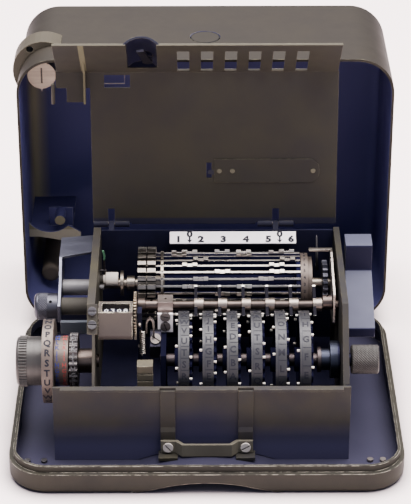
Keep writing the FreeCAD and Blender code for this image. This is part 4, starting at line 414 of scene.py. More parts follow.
def edge_wear_group():
    """Soft rounded edges, and a mask of the places where hands and tools rub an edge bare."""
    group, given, out = new_group(
        "Rubbed edges",
        [("Radius", "Float", 0.0004), ("Patch size", "Float", 300.0), ("Amount", "Float", 0.5)],
        [("Mask", "Float"), ("Normal", "Vector")])
    rounded = add(group, "Bevel", samples=6)
    wire(group, given.outputs["Radius"], rounded.inputs["Radius"])
    surface = add(group, "NewGeometry").outputs["Normal"]
    facing = vectors(group, "DOT_PRODUCT", rounded.outputs["Normal"], surface)
    edge = ramp(group, opposite(group, facing.outputs["Value"]), *RUBBED_TURN)
    coords = add(group, "TexCoord").outputs["Object"]
    patches = clouds(group, coords, given.outputs["Patch size"], detail=5.0, roughness=0.65)
    rubbed = both(group, edge, ramp(group, patches, *RUBBED_SPOTS))
    wire(group, both(group, rubbed, given.outputs["Amount"]), out.inputs["Mask"])
    wire(group, rounded.outputs["Normal"], out.inputs["Normal"])
    return group


def mottle_group():
    """Slow patches and fine specks of a paint or metal surface."""
    group, given, out = new_group(
        "Mottle",
        [("Patch size", "Float", 60.0), ("Speck size", "Float", 1800.0)],
        [("Patches", "Float"), ("Specks", "Float")])
    coords = add(group, "TexCoord").outputs["Object"]
    for label, target, detail in (("Patch size", "Patches", 3.0), ("Speck size", "Specks", 2.0)):
        cloud = clouds(group, coords, given.outputs[label], detail, roughness=0.6)
        wire(group, ramp(group, cloud, *CLOUD_RANGE), out.inputs[target])
    return group


def turning_marks_group():
    """Fine lines left by a lathe tool or a brush, drawn out along one direction."""
    group, given, out = new_group(
        "Tool marks",
        [("Along", "Vector", (1.0, 1.0, 1.0)), ("Density", "Float", 1.0)],
        [("Marks", "Float")])
    coords = add(group, "TexCoord").outputs["Object"]
    stretched = vectors(group, "MULTIPLY", coords, given.outputs["Along"])
    lines = clouds(group, stretched.outputs["Vector"], given.outputs["Density"],
                   detail=3.0, roughness=0.7)
    wire(group, ramp(group, lines, *CLOUD_RANGE), out.inputs["Marks"])
    return group


def recess_group():
    """Mask of slots, roots and corners, for painted shade and the old grease and dust there."""
    group, given, out = new_group(
        "Recesses", [("Reach", "Float", 0.0009)], [("Mask", "Float")])
    shelter = add(group, "AmbientOcclusion", samples=6)
    wire(group, given.outputs["Reach"], shelter.inputs["Distance"])
    covered = opposite(group, shelter.outputs["AO"])
    wire(group, ramp(group, covered, *SHELTER_RANGE), out.inputs["Mask"])
    return group


EDGE_WEAR = edge_wear_group()
RECESSES = recess_group()
MOTTLE = mottle_group()
TOOL_MARKS = turning_marks_group()


# ======== finishes
WORN_OLIVE = (0.24, 0.22, 0.15)
# noise in specks or patches per metre
PAINT_SPECKS = 1500.0
METAL_SPECKS = 900.0
INK_SPECKS = 2500.0
INK_PATCHES = 200.0
PAINT_WEAR_PATCHES = 260.0
METAL_WEAR_PATCHES = 400.0
# bump depths in metres
PAINT_BUMP = 0.00004
METAL_BUMP = 0.00002
INK_BUMP = 0.00003
# shares of a second tone, wear and roughness
SPECK_SHARE = 0.25
TARNISH_SHARE = 0.7
MARK_SHARE = 0.25
SHADE_AND_GREASE_SHARE = 0.12
RUBBED_GAIN = 1.25
RUBBED_LIFT = 0.04
METAL_WEAR = 0.6
BARE_METAL = 0.7
PAINT_SPREAD = 0.12
METAL_SPREAD = 0.18
SPREAD_MIDDLE = 0.06
PAINT_SHINE = 0.1
INK_SHINE = 0.15
INK_GRAIN = 0.2
METAL_SHINE = 0.5


def finish_shader(tree, colour, roughness, metallic, normal, **plain):
    shader = add(tree, "BsdfPrincipled")
    given = {"Base Color": colour, "Roughness": roughness, "Metallic": metallic, "Normal": normal}
    for label, value in given.items():
        if value is None:
            continue
        if isinstance(value, (int, float)):
            shader.inputs[label].default_value = value
        elif isinstance(value, tuple):
            shader.inputs[label].default_value = (*value, 1.0)
        else:
            wire(tree, value, shader.inputs[label])
    set_inputs(shader, **plain)
    out = add(tree, "OutputMaterial")
    wire(tree, shader.outputs[0], out.inputs["Surface"])
    return shader


def bumped(tree, height, strength, distance, normal=None):
    bump = add(tree, "Bump")
    set_inputs(bump, Strength=strength, Distance=distance)
    wire(tree, height, bump.inputs["Height"])
    if normal is not None:
        wire(tree, normal, bump.inputs["Normal"])
    return bump.outputs["Normal"]


def spread_about(tree, pattern, spread, rough):
    """Roughness that a pattern moves up and down from its set value."""
    return maths(tree, "ADD", both(tree, pattern, spread), rough - SPREAD_MIDDLE)


def enamel(name, colour, deep, bare=WORN_OLIVE, rough=0.56, edge=0.0004, wear=0.6, grain=0.35,
           patch=45.0, areas=()):
    """Stoved paint: slow shade changes, fine orange peel, edges rubbed to the metal."""
    material, tree = new_material(name)
    mottle = place_group(tree, MOTTLE, Patch_size=patch, Speck_size=PAINT_SPECKS)
    rubbed = place_group(tree, EDGE_WEAR, Radius=edge, Patch_size=PAINT_WEAR_PATCHES, Amount=wear)
    patches, specks = mottle.outputs["Patches"], mottle.outputs["Specks"]
    paint = blend_colour(tree, patches, colour, deep)
    paint = blend_colour(tree, both(tree, specks, SPECK_SHARE), paint, deep)
    for mask, other in areas:
        paint = blend_colour(tree, mask(tree), paint, other)
    paint = blend_colour(tree, rubbed.outputs["Mask"], paint, bare)
    roughness = spread_about(tree, patches, PAINT_SPREAD, rough)
    normal = bumped(tree, specks, grain, PAINT_BUMP, rubbed.outputs["Normal"])
    metallic = both(tree, rubbed.outputs["Mask"], BARE_METAL)
    finish_shader(tree, paint, roughness, metallic, normal, Specular_IOR_Level=PAINT_SHINE)
    return material


def metal(name, colour, dull, rough=0.28, grain=(60.0, 900.0, 900.0), edge=0.00015, marks=0.25,
          patch=90.0, full=1.0, areas=(), shaded=None):
    """Machined metal: tool marks, tarnish, painted shade and grease in the recesses, and a matt
    area: painted shade on most pieces, painted light on the catch bar's screws.
    """
    material, tree = new_material(name)
    mottle = place_group(tree, MOTTLE, Patch_size=patch, Speck_size=METAL_SPECKS)
    lines = place_group(tree, TOOL_MARKS, Along=grain).outputs["Marks"]
    rubbed = place_group(tree, EDGE_WEAR, Radius=edge, Patch_size=METAL_WEAR_PATCHES,
                         Amount=METAL_WEAR)
    recess = place_group(tree, RECESSES)
    tarnish = both(tree, mottle.outputs["Patches"], TARNISH_SHARE)
    tone = blend_colour(tree, tarnish, colour, dull)
    tone = blend_colour(tree, both(tree, lines, MARK_SHARE), tone, dull)
    brighter = tuple(min(1.0, c * RUBBED_GAIN + RUBBED_LIFT) for c in colour)
    tone = blend_colour(tree, rubbed.outputs["Mask"], tone, brighter)
    for mask, other in areas:
        tone = blend_colour(tree, mask(tree), tone, other)
    metallic, shine = full, None
    if shaded:
        mask, other = shaded
        cover = mask(tree)
        tone = blend_colour(tree, cover, tone, other)
        bright = opposite(tree, cover)
        metallic, shine = both(tree, bright, full), both(tree, bright, METAL_SHINE)
    # painted shade and grease darken the recesses
    tone = blend_colour(tree, recess.outputs["Mask"], tone, tuple(c * SHADE_AND_GREASE_SHARE for c in dull))
    roughness = spread_about(tree, lines, METAL_SPREAD, rough)
    normal = bumped(tree, lines, marks, METAL_BUMP, rubbed.outputs["Normal"])
    shader = finish_shader(tree, tone, roughness, metallic, normal)
    if shaded:
        wire(tree, shine, shader.inputs["Specular IOR Level"])
    return material


def plain_finish(name, colour, rough=0.6, speck=0.15):
    """Small marks, ink and rubber: one colour broken up by fine specks."""
    material, tree = new_material(name)
    mottle = place_group(tree, MOTTLE, Patch_size=INK_PATCHES, Speck_size=INK_SPECKS)
    darker = tuple(c * (1.0 - speck * 2.0) for c in colour)
    tone = blend_colour(tree, mottle.outputs["Specks"], colour, darker)
    normal = bumped(tree, mottle.outputs["Specks"], INK_GRAIN, INK_BUMP)
    finish_shader(tree, tone, rough, 0.0, normal, Specular_IOR_Level=INK_SHINE)
    return material


# ======== masks of areas, many of them for painted light and shade
# the lid's inside, which gets a navy painted shade
def lid_inside(tree):
    return facing_inwards(tree, LID_CENTRE)


def lid_corner_light(tree):
    """Painted light: paler paint in the inner left corner of the lid, where light falls."""
    upper = both(tree, lid_inside(tree), ramp(tree, along(tree, "Y"), *LID_CORNER_Y))
    return both(tree, ramp(tree, along(tree, "X"), *LID_CORNER_X), upper)


def tray_inside_shade(tree):
    """The tray's inside, with the rise of its floor over the groove underneath: painted navy
    shade.
    """
    floor = both(tree, within(tree, along(tree, "X"), *TRAY_FLOOR_X),
                 within(tree, along(tree, "Y"), *TRAY_FLOOR_Y))
    floor = both(tree, floor, above(tree, looking(tree, "Z"), FLOOR_UP))
    return either(tree, facing_inwards(tree, TRAY_CENTRE), floor)


def button_gap_shade(tree):
    """Painted shade in the gap round the lid's press button."""
    return above(tree, square_from(tree, "XY", BUTTON_PLACE), BUTTON_RING_RADIUS ** 2)


# painted shade on the bars' flanks, deep in the drum
def bar_flank_shade(tree):
    return below(tree, axis_distance(tree, DRUM_AXIS), BAR_EDGE_RADIUS)


def bar_teeth(tree):
    return below(tree, along(tree, "X"), BAR_TEETH_RIGHT)


def spindle_core_shade(tree):
    """Painted shade on the drum core and its end disc, deep between the bars."""
    return both(tree, within(tree, along(tree, "X"), *CORE_X),
                below(tree, axis_distance(tree, DRUM_AXIS), CORE_RADIUS))


def arm_shade(tree):
    """Everything of a guide arm but its hub and its top end."""
    return within(tree, axis_distance(tree, ARM_AXIS), ARM_HUB_RADIUS, ARM_TIP_RADIUS)


def arm_ends(tree):
    """Polished tips that meet the lugs and the key wheels' pins."""
    return above(tree, axis_distance(tree, ARM_AXIS), ARM_TIP_RADIUS)


def wheel_pins(tree):
    """The pushed-out pins, proud of both faces near the rim."""
    aside = maths(tree, "ABSOLUTE", from_wheel_middle(tree), 0.0)
    proud = above(tree, aside, WHEEL_HALF_WIDTH + WHEEL_PIN_PROUD)
    return both(tree, proud, above(tree, axis_distance(tree, WHEEL_AXIS), WHEEL_PIN_INSIDE))


def wheel_shade(tree):
    """Side faces, web and bore inside the lettered rim, without the pins proud of them."""
    faces = below(tree, axis_distance(tree, WHEEL_AXIS), WHEEL_RADIUS - WHEEL_RIM_DEPTH)
    return both(tree, faces, opposite(tree, wheel_pins(tree)))


def wheel_rule(tree):
    """Thin turned line on the rim, left of the letters."""
    return within(tree, from_wheel_middle(tree), *WHEEL_RULE)


def bearing_boss(tree):
    return both(tree, below(tree, axis_distance(tree, BOSS_AXIS), BOSS_RADIUS),
                above(tree, along(tree, "X"), BOSS_LEFT))


# painted shade on the bearing plate below its bright block
def block_foot_shade(tree):
    return below(tree, along(tree, "Z"), BLOCK_SHADE_TOP)


def handle_front_shade(tree):
    """Painted shade on the grip's upright front faces."""
    return facing_front(tree, HANDLE_FRONT)


def retainer_screws(tree):
    """The two dark screws of the white retainer, but not the bottoms of their slots."""
    return both(tree, within(tree, along(tree, "X"), *RETAINER_SCREWS_X),
                within(tree, along(tree, "Z"), *RETAINER_SCREWS_Z))


def flange_screws(tree):
    return below(tree, along(tree, "X"), FLANGE_SCREWS_RIGHT)


# painted light: pale matt grey in place of the light on the catch bar's steel screws
def catch_bar_screws_lit(tree):
    return both(tree, below(tree, along(tree, "Y"), CATCH_SCREWS_BACK),
                below(tree, along(tree, "Z"), CATCH_SCREWS_TOP))


def hub_end(tree):
    return above(tree, along(tree, "Z"), HUB_END_BOTTOM)


def cradle_shade(tree):
    """All of the cradle but the front band and the hub's end."""
    behind = above(tree, along(tree, "Y"), CRADLE_BAND_BACK)
    return either(tree, behind, above(tree, looking(tree, "Y"), -FRONT))


def shaft_sleeve(tree):
    return within(tree, along(tree, "X"), *SLEEVE_X)


# painted shade on the sleeve's flange, between the side plate and the reset knob
def sleeve_flange_shade(tree):
    return within(tree, along(tree, "X"), *SLEEVE_FLANGE_X)


def lower_front(tree):
    """The front plate's lower part, where the light doesn't reach."""
    return ramp(tree, along(tree, "Z"), *LOWER_FRONT_Z)


def middle_front_shade(tree):
    """Painted shade below the middle of the front plate's top edge."""
    offset = maths(tree, "SUBTRACT", along(tree, "X"), MIDDLE_FRONT_X)
    aside = maths(tree, "ABSOLUTE", offset, 0.0)
    return both(tree, ramp(tree, aside, *MIDDLE_FRONT_REACH),
                ramp(tree, along(tree, "Z"), *MIDDLE_FRONT_Z))


def cover_web_light(tree):
    """Painted light on the front edge of the web at the cover's left step."""
    leaning = maths(tree, "MULTIPLY", along(tree, "Z"), COVER_LEAN)
    upright = maths(tree, "SUBTRACT", along(tree, "Y"), leaning)
    front = both(tree, below(tree, upright, COVER_WEB_FRONT),
                 above(tree, along(tree, "Z"), COVER_WEB_BOTTOM))
    front = both(tree, front, facing_front(tree))
    return both(tree, front, within(tree, along(tree, "X"), *COVER_WEB_X))


def cover_edge_highlight(tree):
    """Painted highlight on the long edge of the bevel that hands lift the cover by."""
    edge = both(tree, above(tree, looking(tree, "Z"), EDGE_UP), facing_front(tree))
    return both(tree, edge, above(tree, along(tree, "Z"), COVER_EDGE_BOTTOM))


# painted shade on the cover's hinge barrels
def cover_barrel_shade(tree):
    return below(tree, axis_distance(tree, COVER_HINGE), BARREL_RADIUS)


def hood_hollow(tree):
    """Shadowed inside of the hood over the cover's latch."""
    depth = vectors(tree, "DOT_PRODUCT", object_place(tree), HOOD_SLOPE)
    deep = above(tree, depth.outputs["Value"], HOOD_DEPTH)
    seen = both(tree, deep, facing_front(tree, HOOD_FRONT))
    return both(tree, seen, within(tree, along(tree, "X"), *HOOD_SIDES))


def rivet_heads(tree):
    heads = [below(tree, square_from(tree, "XZ", place), RIVET_RADIUS * RIVET_RADIUS)
             for place in RIVETS]
    return either(tree, either(tree, heads[0], heads[1]), heads[2])


def coin_slot(tree):
    """The bottom and sides of the slot in the canister's cap."""
    upright = [within(tree, along(tree, letter), middle - half, middle + half)
               for letter, middle, half in zip("XZ", CANISTER, COIN_SLOT_HALF)]
    return both(tree, both(tree, *upright), within(tree, along(tree, "Y"), *COIN_SLOT_Y))


# ======== materials
# enamels: name, colour, second tone, bare metal where it is rubbed
# painted shade for the inside of the lid
LID_INSIDE_SHADE = (0.06, 0.06, 0.156)
# painted shade for the frame's inside: the rear plate and the deck
DEEPER_PAINTED_SHADE = (0.005, 0.005, 0.013)
NAVY_PAINTED_SHADE = (0.009, 0.009, 0.026)

CASE_PAINT = enamel(
    "case_enamel", (0.0262, 0.0236, 0.0172), (0.0196, 0.0178, 0.015), (0.46, 0.42, 0.35),
    wear=1.5, areas=((tray_inside_shade, (0.02, 0.0188, 0.035)),))
LID_PAINT = enamel(
    "lid_enamel", (0.0194, 0.0164, 0.0124), (0.016, 0.0136, 0.0114), wear=0.7,
    areas=((lid_inside, LID_INSIDE_SHADE), (lid_corner_light, (0.215, 0.198, 0.135))))
OUTER_PAINT = enamel(
    "outer_enamel", (0.048, 0.0415, 0.03), (0.037, 0.032, 0.0245), (0.26, 0.24, 0.16),
    wear=0.7)
BUTTON_PAINT = enamel(
    "button_enamel", (0.0188, 0.0162, 0.0122), (0.016, 0.0138, 0.0112), wear=0.5,
    areas=((button_gap_shade, (0.002, 0.002, 0.004)),))
FRAME_PAINT = enamel(
    "frame_enamel", (0.029, 0.0262, 0.0178), (0.0165, 0.0155, 0.019), edge=0.0003)
FRONT_PAINT = enamel(
    "front_enamel", (0.032, 0.029, 0.0205), (0.02, 0.0186, 0.0215), edge=0.0003,
    areas=((middle_front_shade, (0.015, 0.0145, 0.029)), (lower_front, (0.04, 0.037, 0.074))))
LEFT_PLATE_PAINT = enamel(
    "left_plate_enamel", (0.042, 0.0375, 0.0255), (0.026, 0.0235, 0.024),
    (0.3, 0.27, 0.19), edge=0.0003, areas=((bearing_boss, (0.5, 0.45, 0.4)),))
# a lighter copy of the frame paint, as painted light on the catch bar
CATCH_BAR_PAINT = enamel(
    "catch_bar_enamel", (0.108, 0.098, 0.074), (0.076, 0.068, 0.054), (0.36, 0.32, 0.24))
# the cradle's front band is pale as painted light; cradle_shade paints shade over the rest
CRADLE_PAINT = enamel(
    "cradle_enamel", (0.215, 0.2, 0.148), (0.16, 0.148, 0.122), (0.44, 0.4, 0.3),
    areas=((hub_end, (0.12, 0.11, 0.07)), (cradle_shade, (0.038, 0.038, 0.105))))
SPRING_PAINT = enamel(
    "spring_enamel", (0.0212, 0.0192, 0.0128), (0.0165, 0.015, 0.0138),
    areas=((rivet_heads, (0.085, 0.078, 0.054)),))
COVER_PAINT = enamel(
    "cover_enamel", (0.0212, 0.0192, 0.0128), (0.0165, 0.015, 0.0138), edge=0.0003,
    areas=((cover_web_light, (0.076, 0.07, 0.042)), (cover_edge_highlight, (0.07, 0.064, 0.048)),
           (cover_barrel_shade, (0.01, 0.0098, 0.019)), (hood_hollow, (0.0036, 0.0036, 0.012))))
INNER_PAINTED_SHADE = enamel("inside_painted_shade", NAVY_PAINTED_SHADE, DEEPER_PAINTED_SHADE, (0.06, 0.06, 0.07), edge=0.0002)
TUBE_PAINT = enamel(
    "tube_enamel", (0.085, 0.07, 0.052), (0.055, 0.046, 0.042), (0.2, 0.18, 0.14),
    edge=0.0003)
COUNTER_PAINT = enamel(
    "counter_enamel", (0.074, 0.062, 0.05), (0.049, 0.041, 0.038), (0.7, 0.64, 0.5),
    edge=0.0006, wear=1.2)
WHITE_ENAMEL = enamel(
    "white_enamel", (0.96, 0.9, 0.91), (0.9, 0.83, 0.84), (0.5, 0.45, 0.4), wear=0.3,
    patch=120.0)
CREAM_ENAMEL = enamel(
    "cream_enamel", (0.082, 0.071, 0.048), (0.056, 0.049, 0.038), (0.4, 0.36, 0.27),
    edge=0.0005, wear=1.0, patch=150.0)
HANDLE_GREY = enamel(
    "handle_grey", (0.062, 0.065, 0.098), (0.052, 0.054, 0.082), (0.26, 0.26, 0.32),
    edge=0.0005, areas=((handle_front_shade, (0.0045, 0.0045, 0.018)),))
GUIDE_GREY = enamel(
    "guide_grey", (0.062, 0.07, 0.084), (0.046, 0.052, 0.066), (0.34, 0.34, 0.36),
    edge=0.0003)

# metals: name, colour, tarnished tone
STEEL = metal("satin_steel", (0.44, 0.39, 0.35), (0.2, 0.17, 0.17))
BRIGHT_STEEL = metal("bright_steel", (0.5, 0.455, 0.4), (0.25, 0.22, 0.2))
SHAFT_STEEL = metal("shaft_steel", (0.092, 0.072, 0.062), (0.05, 0.039, 0.037), rough=0.38)
COMB_STEEL = metal("comb_steel", (0.066, 0.06, 0.056), (0.036, 0.032, 0.036), rough=0.38)
DARK_STEEL = metal("blackened_steel", (0.034, 0.032, 0.042), (0.019, 0.018, 0.032), rough=0.4)
ROLLER_STEEL = metal(
    "roller_steel", (0.12, 0.114, 0.116), (0.064, 0.061, 0.07), rough=0.5, full=0.3)
BLUE_STEEL = metal(
    "blue_steel", (0.066, 0.066, 0.078), (0.04, 0.04, 0.054), rough=0.42, marks=0.15)
BRACKET_GREY = metal(
    "bracket_grey", (0.165, 0.17, 0.212), (0.11, 0.112, 0.15), rough=0.42, marks=0.15)
BAR_STEEL = metal(
    "bar_steel", (0.34, 0.315, 0.285), (0.15, 0.135, 0.125),
    areas=((bar_teeth, (0.165, 0.148, 0.13)),), shaded=(bar_flank_shade, (0.01, 0.01, 0.03)))
SPINDLE_STEEL = metal(
    "spindle_steel", (0.25, 0.215, 0.175), (0.12, 0.105, 0.09), rough=0.34,
    shaded=(spindle_core_shade, (0.006, 0.006, 0.02)))
BLOCK_STEEL = metal(
    "block_steel", (0.34, 0.29, 0.265), (0.2, 0.165, 0.155), rough=0.38,
    shaded=(block_foot_shade, (0.0045, 0.0045, 0.012)))
SLEEVE_STEEL = metal(
    "sleeve_steel", (0.075, 0.06, 0.058), (0.04, 0.033, 0.038), rough=0.42,
    areas=((shaft_sleeve, (0.03, 0.033, 0.048)), (sleeve_flange_shade, (0.01, 0.01, 0.022))))
SCREW_STEEL = metal(
    "screw_steel", (0.24, 0.21, 0.19), (0.12, 0.105, 0.1), rough=0.34,
    areas=((retainer_screws, (0.2, 0.184, 0.18)), (flange_screws, (0.1, 0.094, 0.098))),
    shaded=(catch_bar_screws_lit, (0.42, 0.38, 0.35)))
ARM_STEEL = metal(
    "arm_steel", (0.25, 0.21, 0.18), (0.14, 0.115, 0.1), rough=0.36,
    areas=((arm_ends, (0.8, 0.74, 0.66)),), shaded=(arm_shade, (0.0085, 0.008, 0.011)))
WHEEL_STEEL = metal(
    "wheel_steel", (0.0295, 0.029, 0.0305), (0.0178, 0.018, 0.0235), rough=0.46, full=0.5,
    grain=(60.0, 300.0, 300.0),
    areas=((wheel_rule, (0.012, 0.012, 0.018)), (wheel_pins, (0.46, 0.43, 0.38))),
    shaded=(wheel_shade, (0.007, 0.007, 0.02)))
ALLOY = metal(
    "turned_alloy", (0.102, 0.079, 0.066), (0.061, 0.049, 0.043), rough=0.46, full=0.6,
    grain=(1500.0, 60.0, 60.0))
KNURLED_ALLOY = metal(
    "knurled_alloy", (0.05, 0.046, 0.043), (0.027, 0.025, 0.0245), rough=0.4, full=0.6,
    grain=(900.0, 60.0, 60.0))
CANISTER_ALLOY = metal(
    "canister_alloy", (0.182, 0.154, 0.124), (0.122, 0.102, 0.084), rough=0.45,
    grain=(60.0, 60.0, 1500.0), areas=((coin_slot, (0.05, 0.044, 0.042)),))
BRASS = metal("dull_brass", (0.32, 0.26, 0.19), (0.13, 0.11, 0.095), rough=0.35)

# plain finishes: name, colour
RUBBER = plain_finish("feed_rubber", (0.04, 0.036, 0.03), rough=0.7)
BLACK_INK = plain_finish("black_filling", (0.008, 0.008, 0.014))
WHEEL_INK = plain_finish("wheel_filling", (0.0125, 0.0125, 0.019))
WHITE_INK = plain_finish("white_filling", (0.85, 0.85, 0.83), rough=0.5, speck=0.05)
BLUE_INK = plain_finish("blue_filling", (0.03, 0.04, 0.2), rough=0.5)
RED_INK = plain_finish("red_filling", (0.3, 0.05, 0.045), rough=0.5)
GREEN_PAINT = plain_finish("green_tip", (0.07, 0.17, 0.095), rough=0.4)
BLACK_DIAL = plain_finish("black_dial", (0.008, 0.008, 0.018), rough=0.45)

NODE_FINISH = {
    "base_tray": CASE_PAINT, "outer_lid": LID_PAINT, "lid_latch_button": BUTTON_PAINT,
    "lid_strap_loop": OUTER_PAINT, "hinge_pins": STEEL, "front_plate": FRONT_PAINT,
    "front_straps": FRAME_PAINT, "front_catch_bar": CATCH_BAR_PAINT, "frame_screws": SCREW_STEEL,
    "left_side_plate": LEFT_PLATE_PAINT, "right_side_plate": FRAME_PAINT,
    "rear_plate": INNER_PAINTED_SHADE, "mechanism_deck": INNER_PAINTED_SHADE, "wheel_bearing_plate": BLOCK_STEEL,
    "arm_shaft": SHAFT_STEEL, "retainer_plate": WHITE_ENAMEL, "clamp_block": DARK_STEEL,
    "drum_end_bracket": BRIGHT_STEEL, "scale_strip": WHITE_ENAMEL,
    "cover_catch_block": CREAM_ENAMEL, "counter_case": COUNTER_PAINT,
    "tape_bracket": BRACKET_GREY, "tape_guide": GUIDE_GREY, "counter_tens_wheels": BLACK_DIAL,
    "counter_units_wheel": BLACK_DIAL, "drum_spindle": SPINDLE_STEEL, "slide_bars": BAR_STEEL,
    "bar_lugs": BRIGHT_STEEL, "number_ring": ALLOY, "drum_ratchet": BLUE_STEEL,
    "power_handle": HANDLE_GREY, "key_wheel_shaft": SLEEVE_STEEL, "reset_knob": KNURLED_ALLOY,
    "type_shaft": SHAFT_STEEL, "setting_knob": KNURLED_ALLOY, "letter_ring": ALLOY,
    "print_disc": ALLOY, "type_wheel": COMB_STEEL, "feed_roller": RUBBER,
    "feed_knob": BLUE_STEEL, "pressure_roller": ROLLER_STEEL, "counter_gear": BRASS,
    "lid_canister": CANISTER_ALLOY, "lid_tool_tube": TUBE_PAINT, "lid_tape_cradle": CRADLE_PAINT,
    "inner_cover": COVER_PAINT, "cover_latch": DARK_STEEL, "cover_spring": SPRING_PAINT,
}
for number in range(1, len(WHEEL_LETTERS) + 1):
    NODE_FINISH["key_wheel_%d" % number] = WHEEL_STEEL
    NODE_FINISH["guide_arm_%d" % number] = ARM_STEEL


def dress_nodes():
    for name, node in NODES.items():
        node.data.materials.clear()
        node.data.materials.append(NODE_FINISH[name])


def new_object(name, data):
    made = bpy.data.objects.new(name, data)
    bpy.context.scene.collection.objects.link(made)
    return made


# ======== lettering
@lru_cache(maxsize=None)
def flat_letter(symbol, height, weight, widen):
    """Closed thin letter, centred on its place, facing +Z, in millimetres."""
    curve = bpy.data.curves.new("letter", "FONT")
    curve.body = symbol
    curve.size = height / CAP_SHARE
    curve.offset = weight
    curve.align_x = "CENTER"
    curve.resolution_u = LETTER_CURVE_STEPS
    curve.extrude = LETTER_SHEET / 2
    holder = new_object("letter", curve)
    bpy.context.view_layer.update()
    mesh = bpy.data.meshes.new_from_object(holder)
    bpy.data.objects.remove(holder)
    form = bmesh.new()
    form.from_mesh(mesh)
    bmesh.ops.remove_doubles(form, verts=form.verts, dist=LETTER_WELD)
    bmesh.ops.translate(form, verts=form.verts, vec=(0.0, -height / 2, 0.0))
    bmesh.ops.scale(form, verts=form.verts, vec=(widen, 1.0, 1.0))
    # cut across into strips, so that the letter can bend round a rim
    half = LETTER_STRIPS // 2
    for i in range(-half, half + 1):
        bmesh.ops.bisect_plane(form, geom=form.verts[:] + form.edges[:] + form.faces[:],
                               plane_co=(0, i * height / LETTER_STRIPS, 0), plane_no=(0, 1, 0))
    return form


def add_letter(target, letter, placing):
    """Copy one flat letter into a mesh, each point moved by placing."""
    points = {v: target.verts.new(placing(v.co)) for v in letter.verts}
    for face in letter.faces:
        target.faces.new([points[v] for v in face.verts])


def add_plate(form, outline, placing, half=LETTER_SHEET / 2):
    """Thin closed plate with a flat outline, each point moved by placing."""
    upper = [form.verts.new(placing(Vector((x, y, half)))) for x, y in outline]
    lower = [form.verts.new(placing(Vector((x, y, -half)))) for x, y in outline]
    form.faces.new(upper)
    form.faces.new(lower[::-1])
    for i in range(len(outline)):
        k = (i + 1) % len(outline)
        form.faces.new((upper[i], lower[i], lower[k], upper[k]))


def on_rim(x, axis, radius, degrees):
    """Placing on a rim: upright towards larger angles, from the front over the top."""
    def placing(point):
        angle = math.radians(degrees) + point.y / radius
        reach = radius + point.z
        y = axis[0] - reach * math.cos(angle)
        return Vector((x + point.x, y, axis[1] + reach * math.sin(angle))) * MM
    return placing


def on_strip(x, up):
    """Placing on the sloping scale strip, up from its front edge."""
    slope = math.radians(STRIP_TILT)

    def placing(point):
        reach = up + point.y
        y = STRIP_FRONT[0] + reach * math.cos(slope) - point.z * math.sin(slope)
        z = STRIP_FRONT[1] + reach * math.sin(slope) + point.z * math.cos(slope)
        return Vector((x + point.x, y, z)) * MM
    return placing


def on_cover(point):
    """Placing on the inner cover's panel, as it stands open."""
    y, z = SLOT_PLACE
    return Vector((point.x, y + COVER_LEAN * point.y - point.z, z + point.y)) * MM


def make_piece(name, body, material, shapes, smooth=False):
    """One piece made of shapes: each is an adding function and what it is given."""
    form = bmesh.new()
    for adder, *given in shapes:
        adder(form, *given)
    bmesh.ops.recalc_face_normals(form, faces=form.faces)
    mesh = bpy.data.meshes.new(name)
    form.to_mesh(mesh)
    form.free()
    mesh.materials.append(material)
    for face in mesh.polygons:
        face.use_smooth = smooth
    piece = new_object(name, mesh)
    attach(piece, body)
    return piece


def round_rim(symbols, x, axis, radius, start, step):
    """Letters set round a rim, a step of so many degrees apart."""
    return [(symbol, on_rim(x, axis, radius, start + k * step))
            for k, symbol in enumerate(symbols)]


def lettered_piece(name, body, material, letters, style):
    """One piece made of letters: letters are (symbol, placing)."""
    shapes = [(add_letter, flat_letter(symbol, *style), placing) for symbol, placing in letters]
    make_piece(name, body, material, shapes)


def wheel_lettering():
    for i, (count, start) in enumerate(zip(WHEEL_LETTERS, WHEEL_TURNS)):
        symbols = ALPHABET if count == len(ALPHABET) else SHORT_ALPHABET[:count]
        x = WHEEL_FIRST_X + WHEEL_PITCH * i
        step = 360 / count
        body = "wheel_%d" % (i + 1)
        letters = round_rim(symbols, x + WHEEL_LETTER_SHIFT, WHEEL_AXIS, WHEEL_RADIUS, start, step)
        lettered_piece("wheel_letters_%d" % (i + 1), body, WHEEL_INK, letters,
                       WHEEL_STYLE)
        middles = [start + (k + 0.5) * step for k in range(count)]
        ticks = [(add_plate, WHEEL_TICK, on_rim(x, WHEEL_AXIS, WHEEL_RADIUS, degrees))
                 for degrees in middles]
        make_piece("wheel_ticks_%d" % (i + 1), body, WHEEL_INK, ticks)


def setting_lettering():
    x, radius = LETTER_RING
    start = LETTER_RING_START
    step = 360 / len(ALPHABET)
    letters = round_rim(ALPHABET, x, SETTING_AXIS, radius, start, -step)
    lettered_piece("letter_ring_letters", "setting_unit", BLACK_INK, letters, RING_STYLE)
    for x, ink, name in ((BLUE_ROW_X, BLUE_INK, "blue"), (RED_ROW_X, RED_INK, "red")):
        letters = round_rim(ALPHABET, x, SETTING_AXIS, PRINT_DISC_RADIUS, start + step / 2, step)
        lettered_piece("print_letters_" + name, "setting_unit", ink, letters,
                       PRINT_STYLE)
    x, radius = TYPE_WHEEL
    letters = round_rim(ALPHABET, x, SETTING_AXIS, radius, start, step)
    lettered_piece("type_letters", "setting_unit", ROLLER_STEEL, letters, TYPE_STYLE)


def drum_numbers():
    x, radius = NUMBER_RING
    numbers = [str(k + 1) for k in range(BAR_COUNT)]
    letters = round_rim(numbers, x, DRUM_AXIS, radius, 0.0, 360 / BAR_COUNT)
    lettered_piece("drum_numbers", "drum", BLACK_INK, letters, DRUM_STYLE)


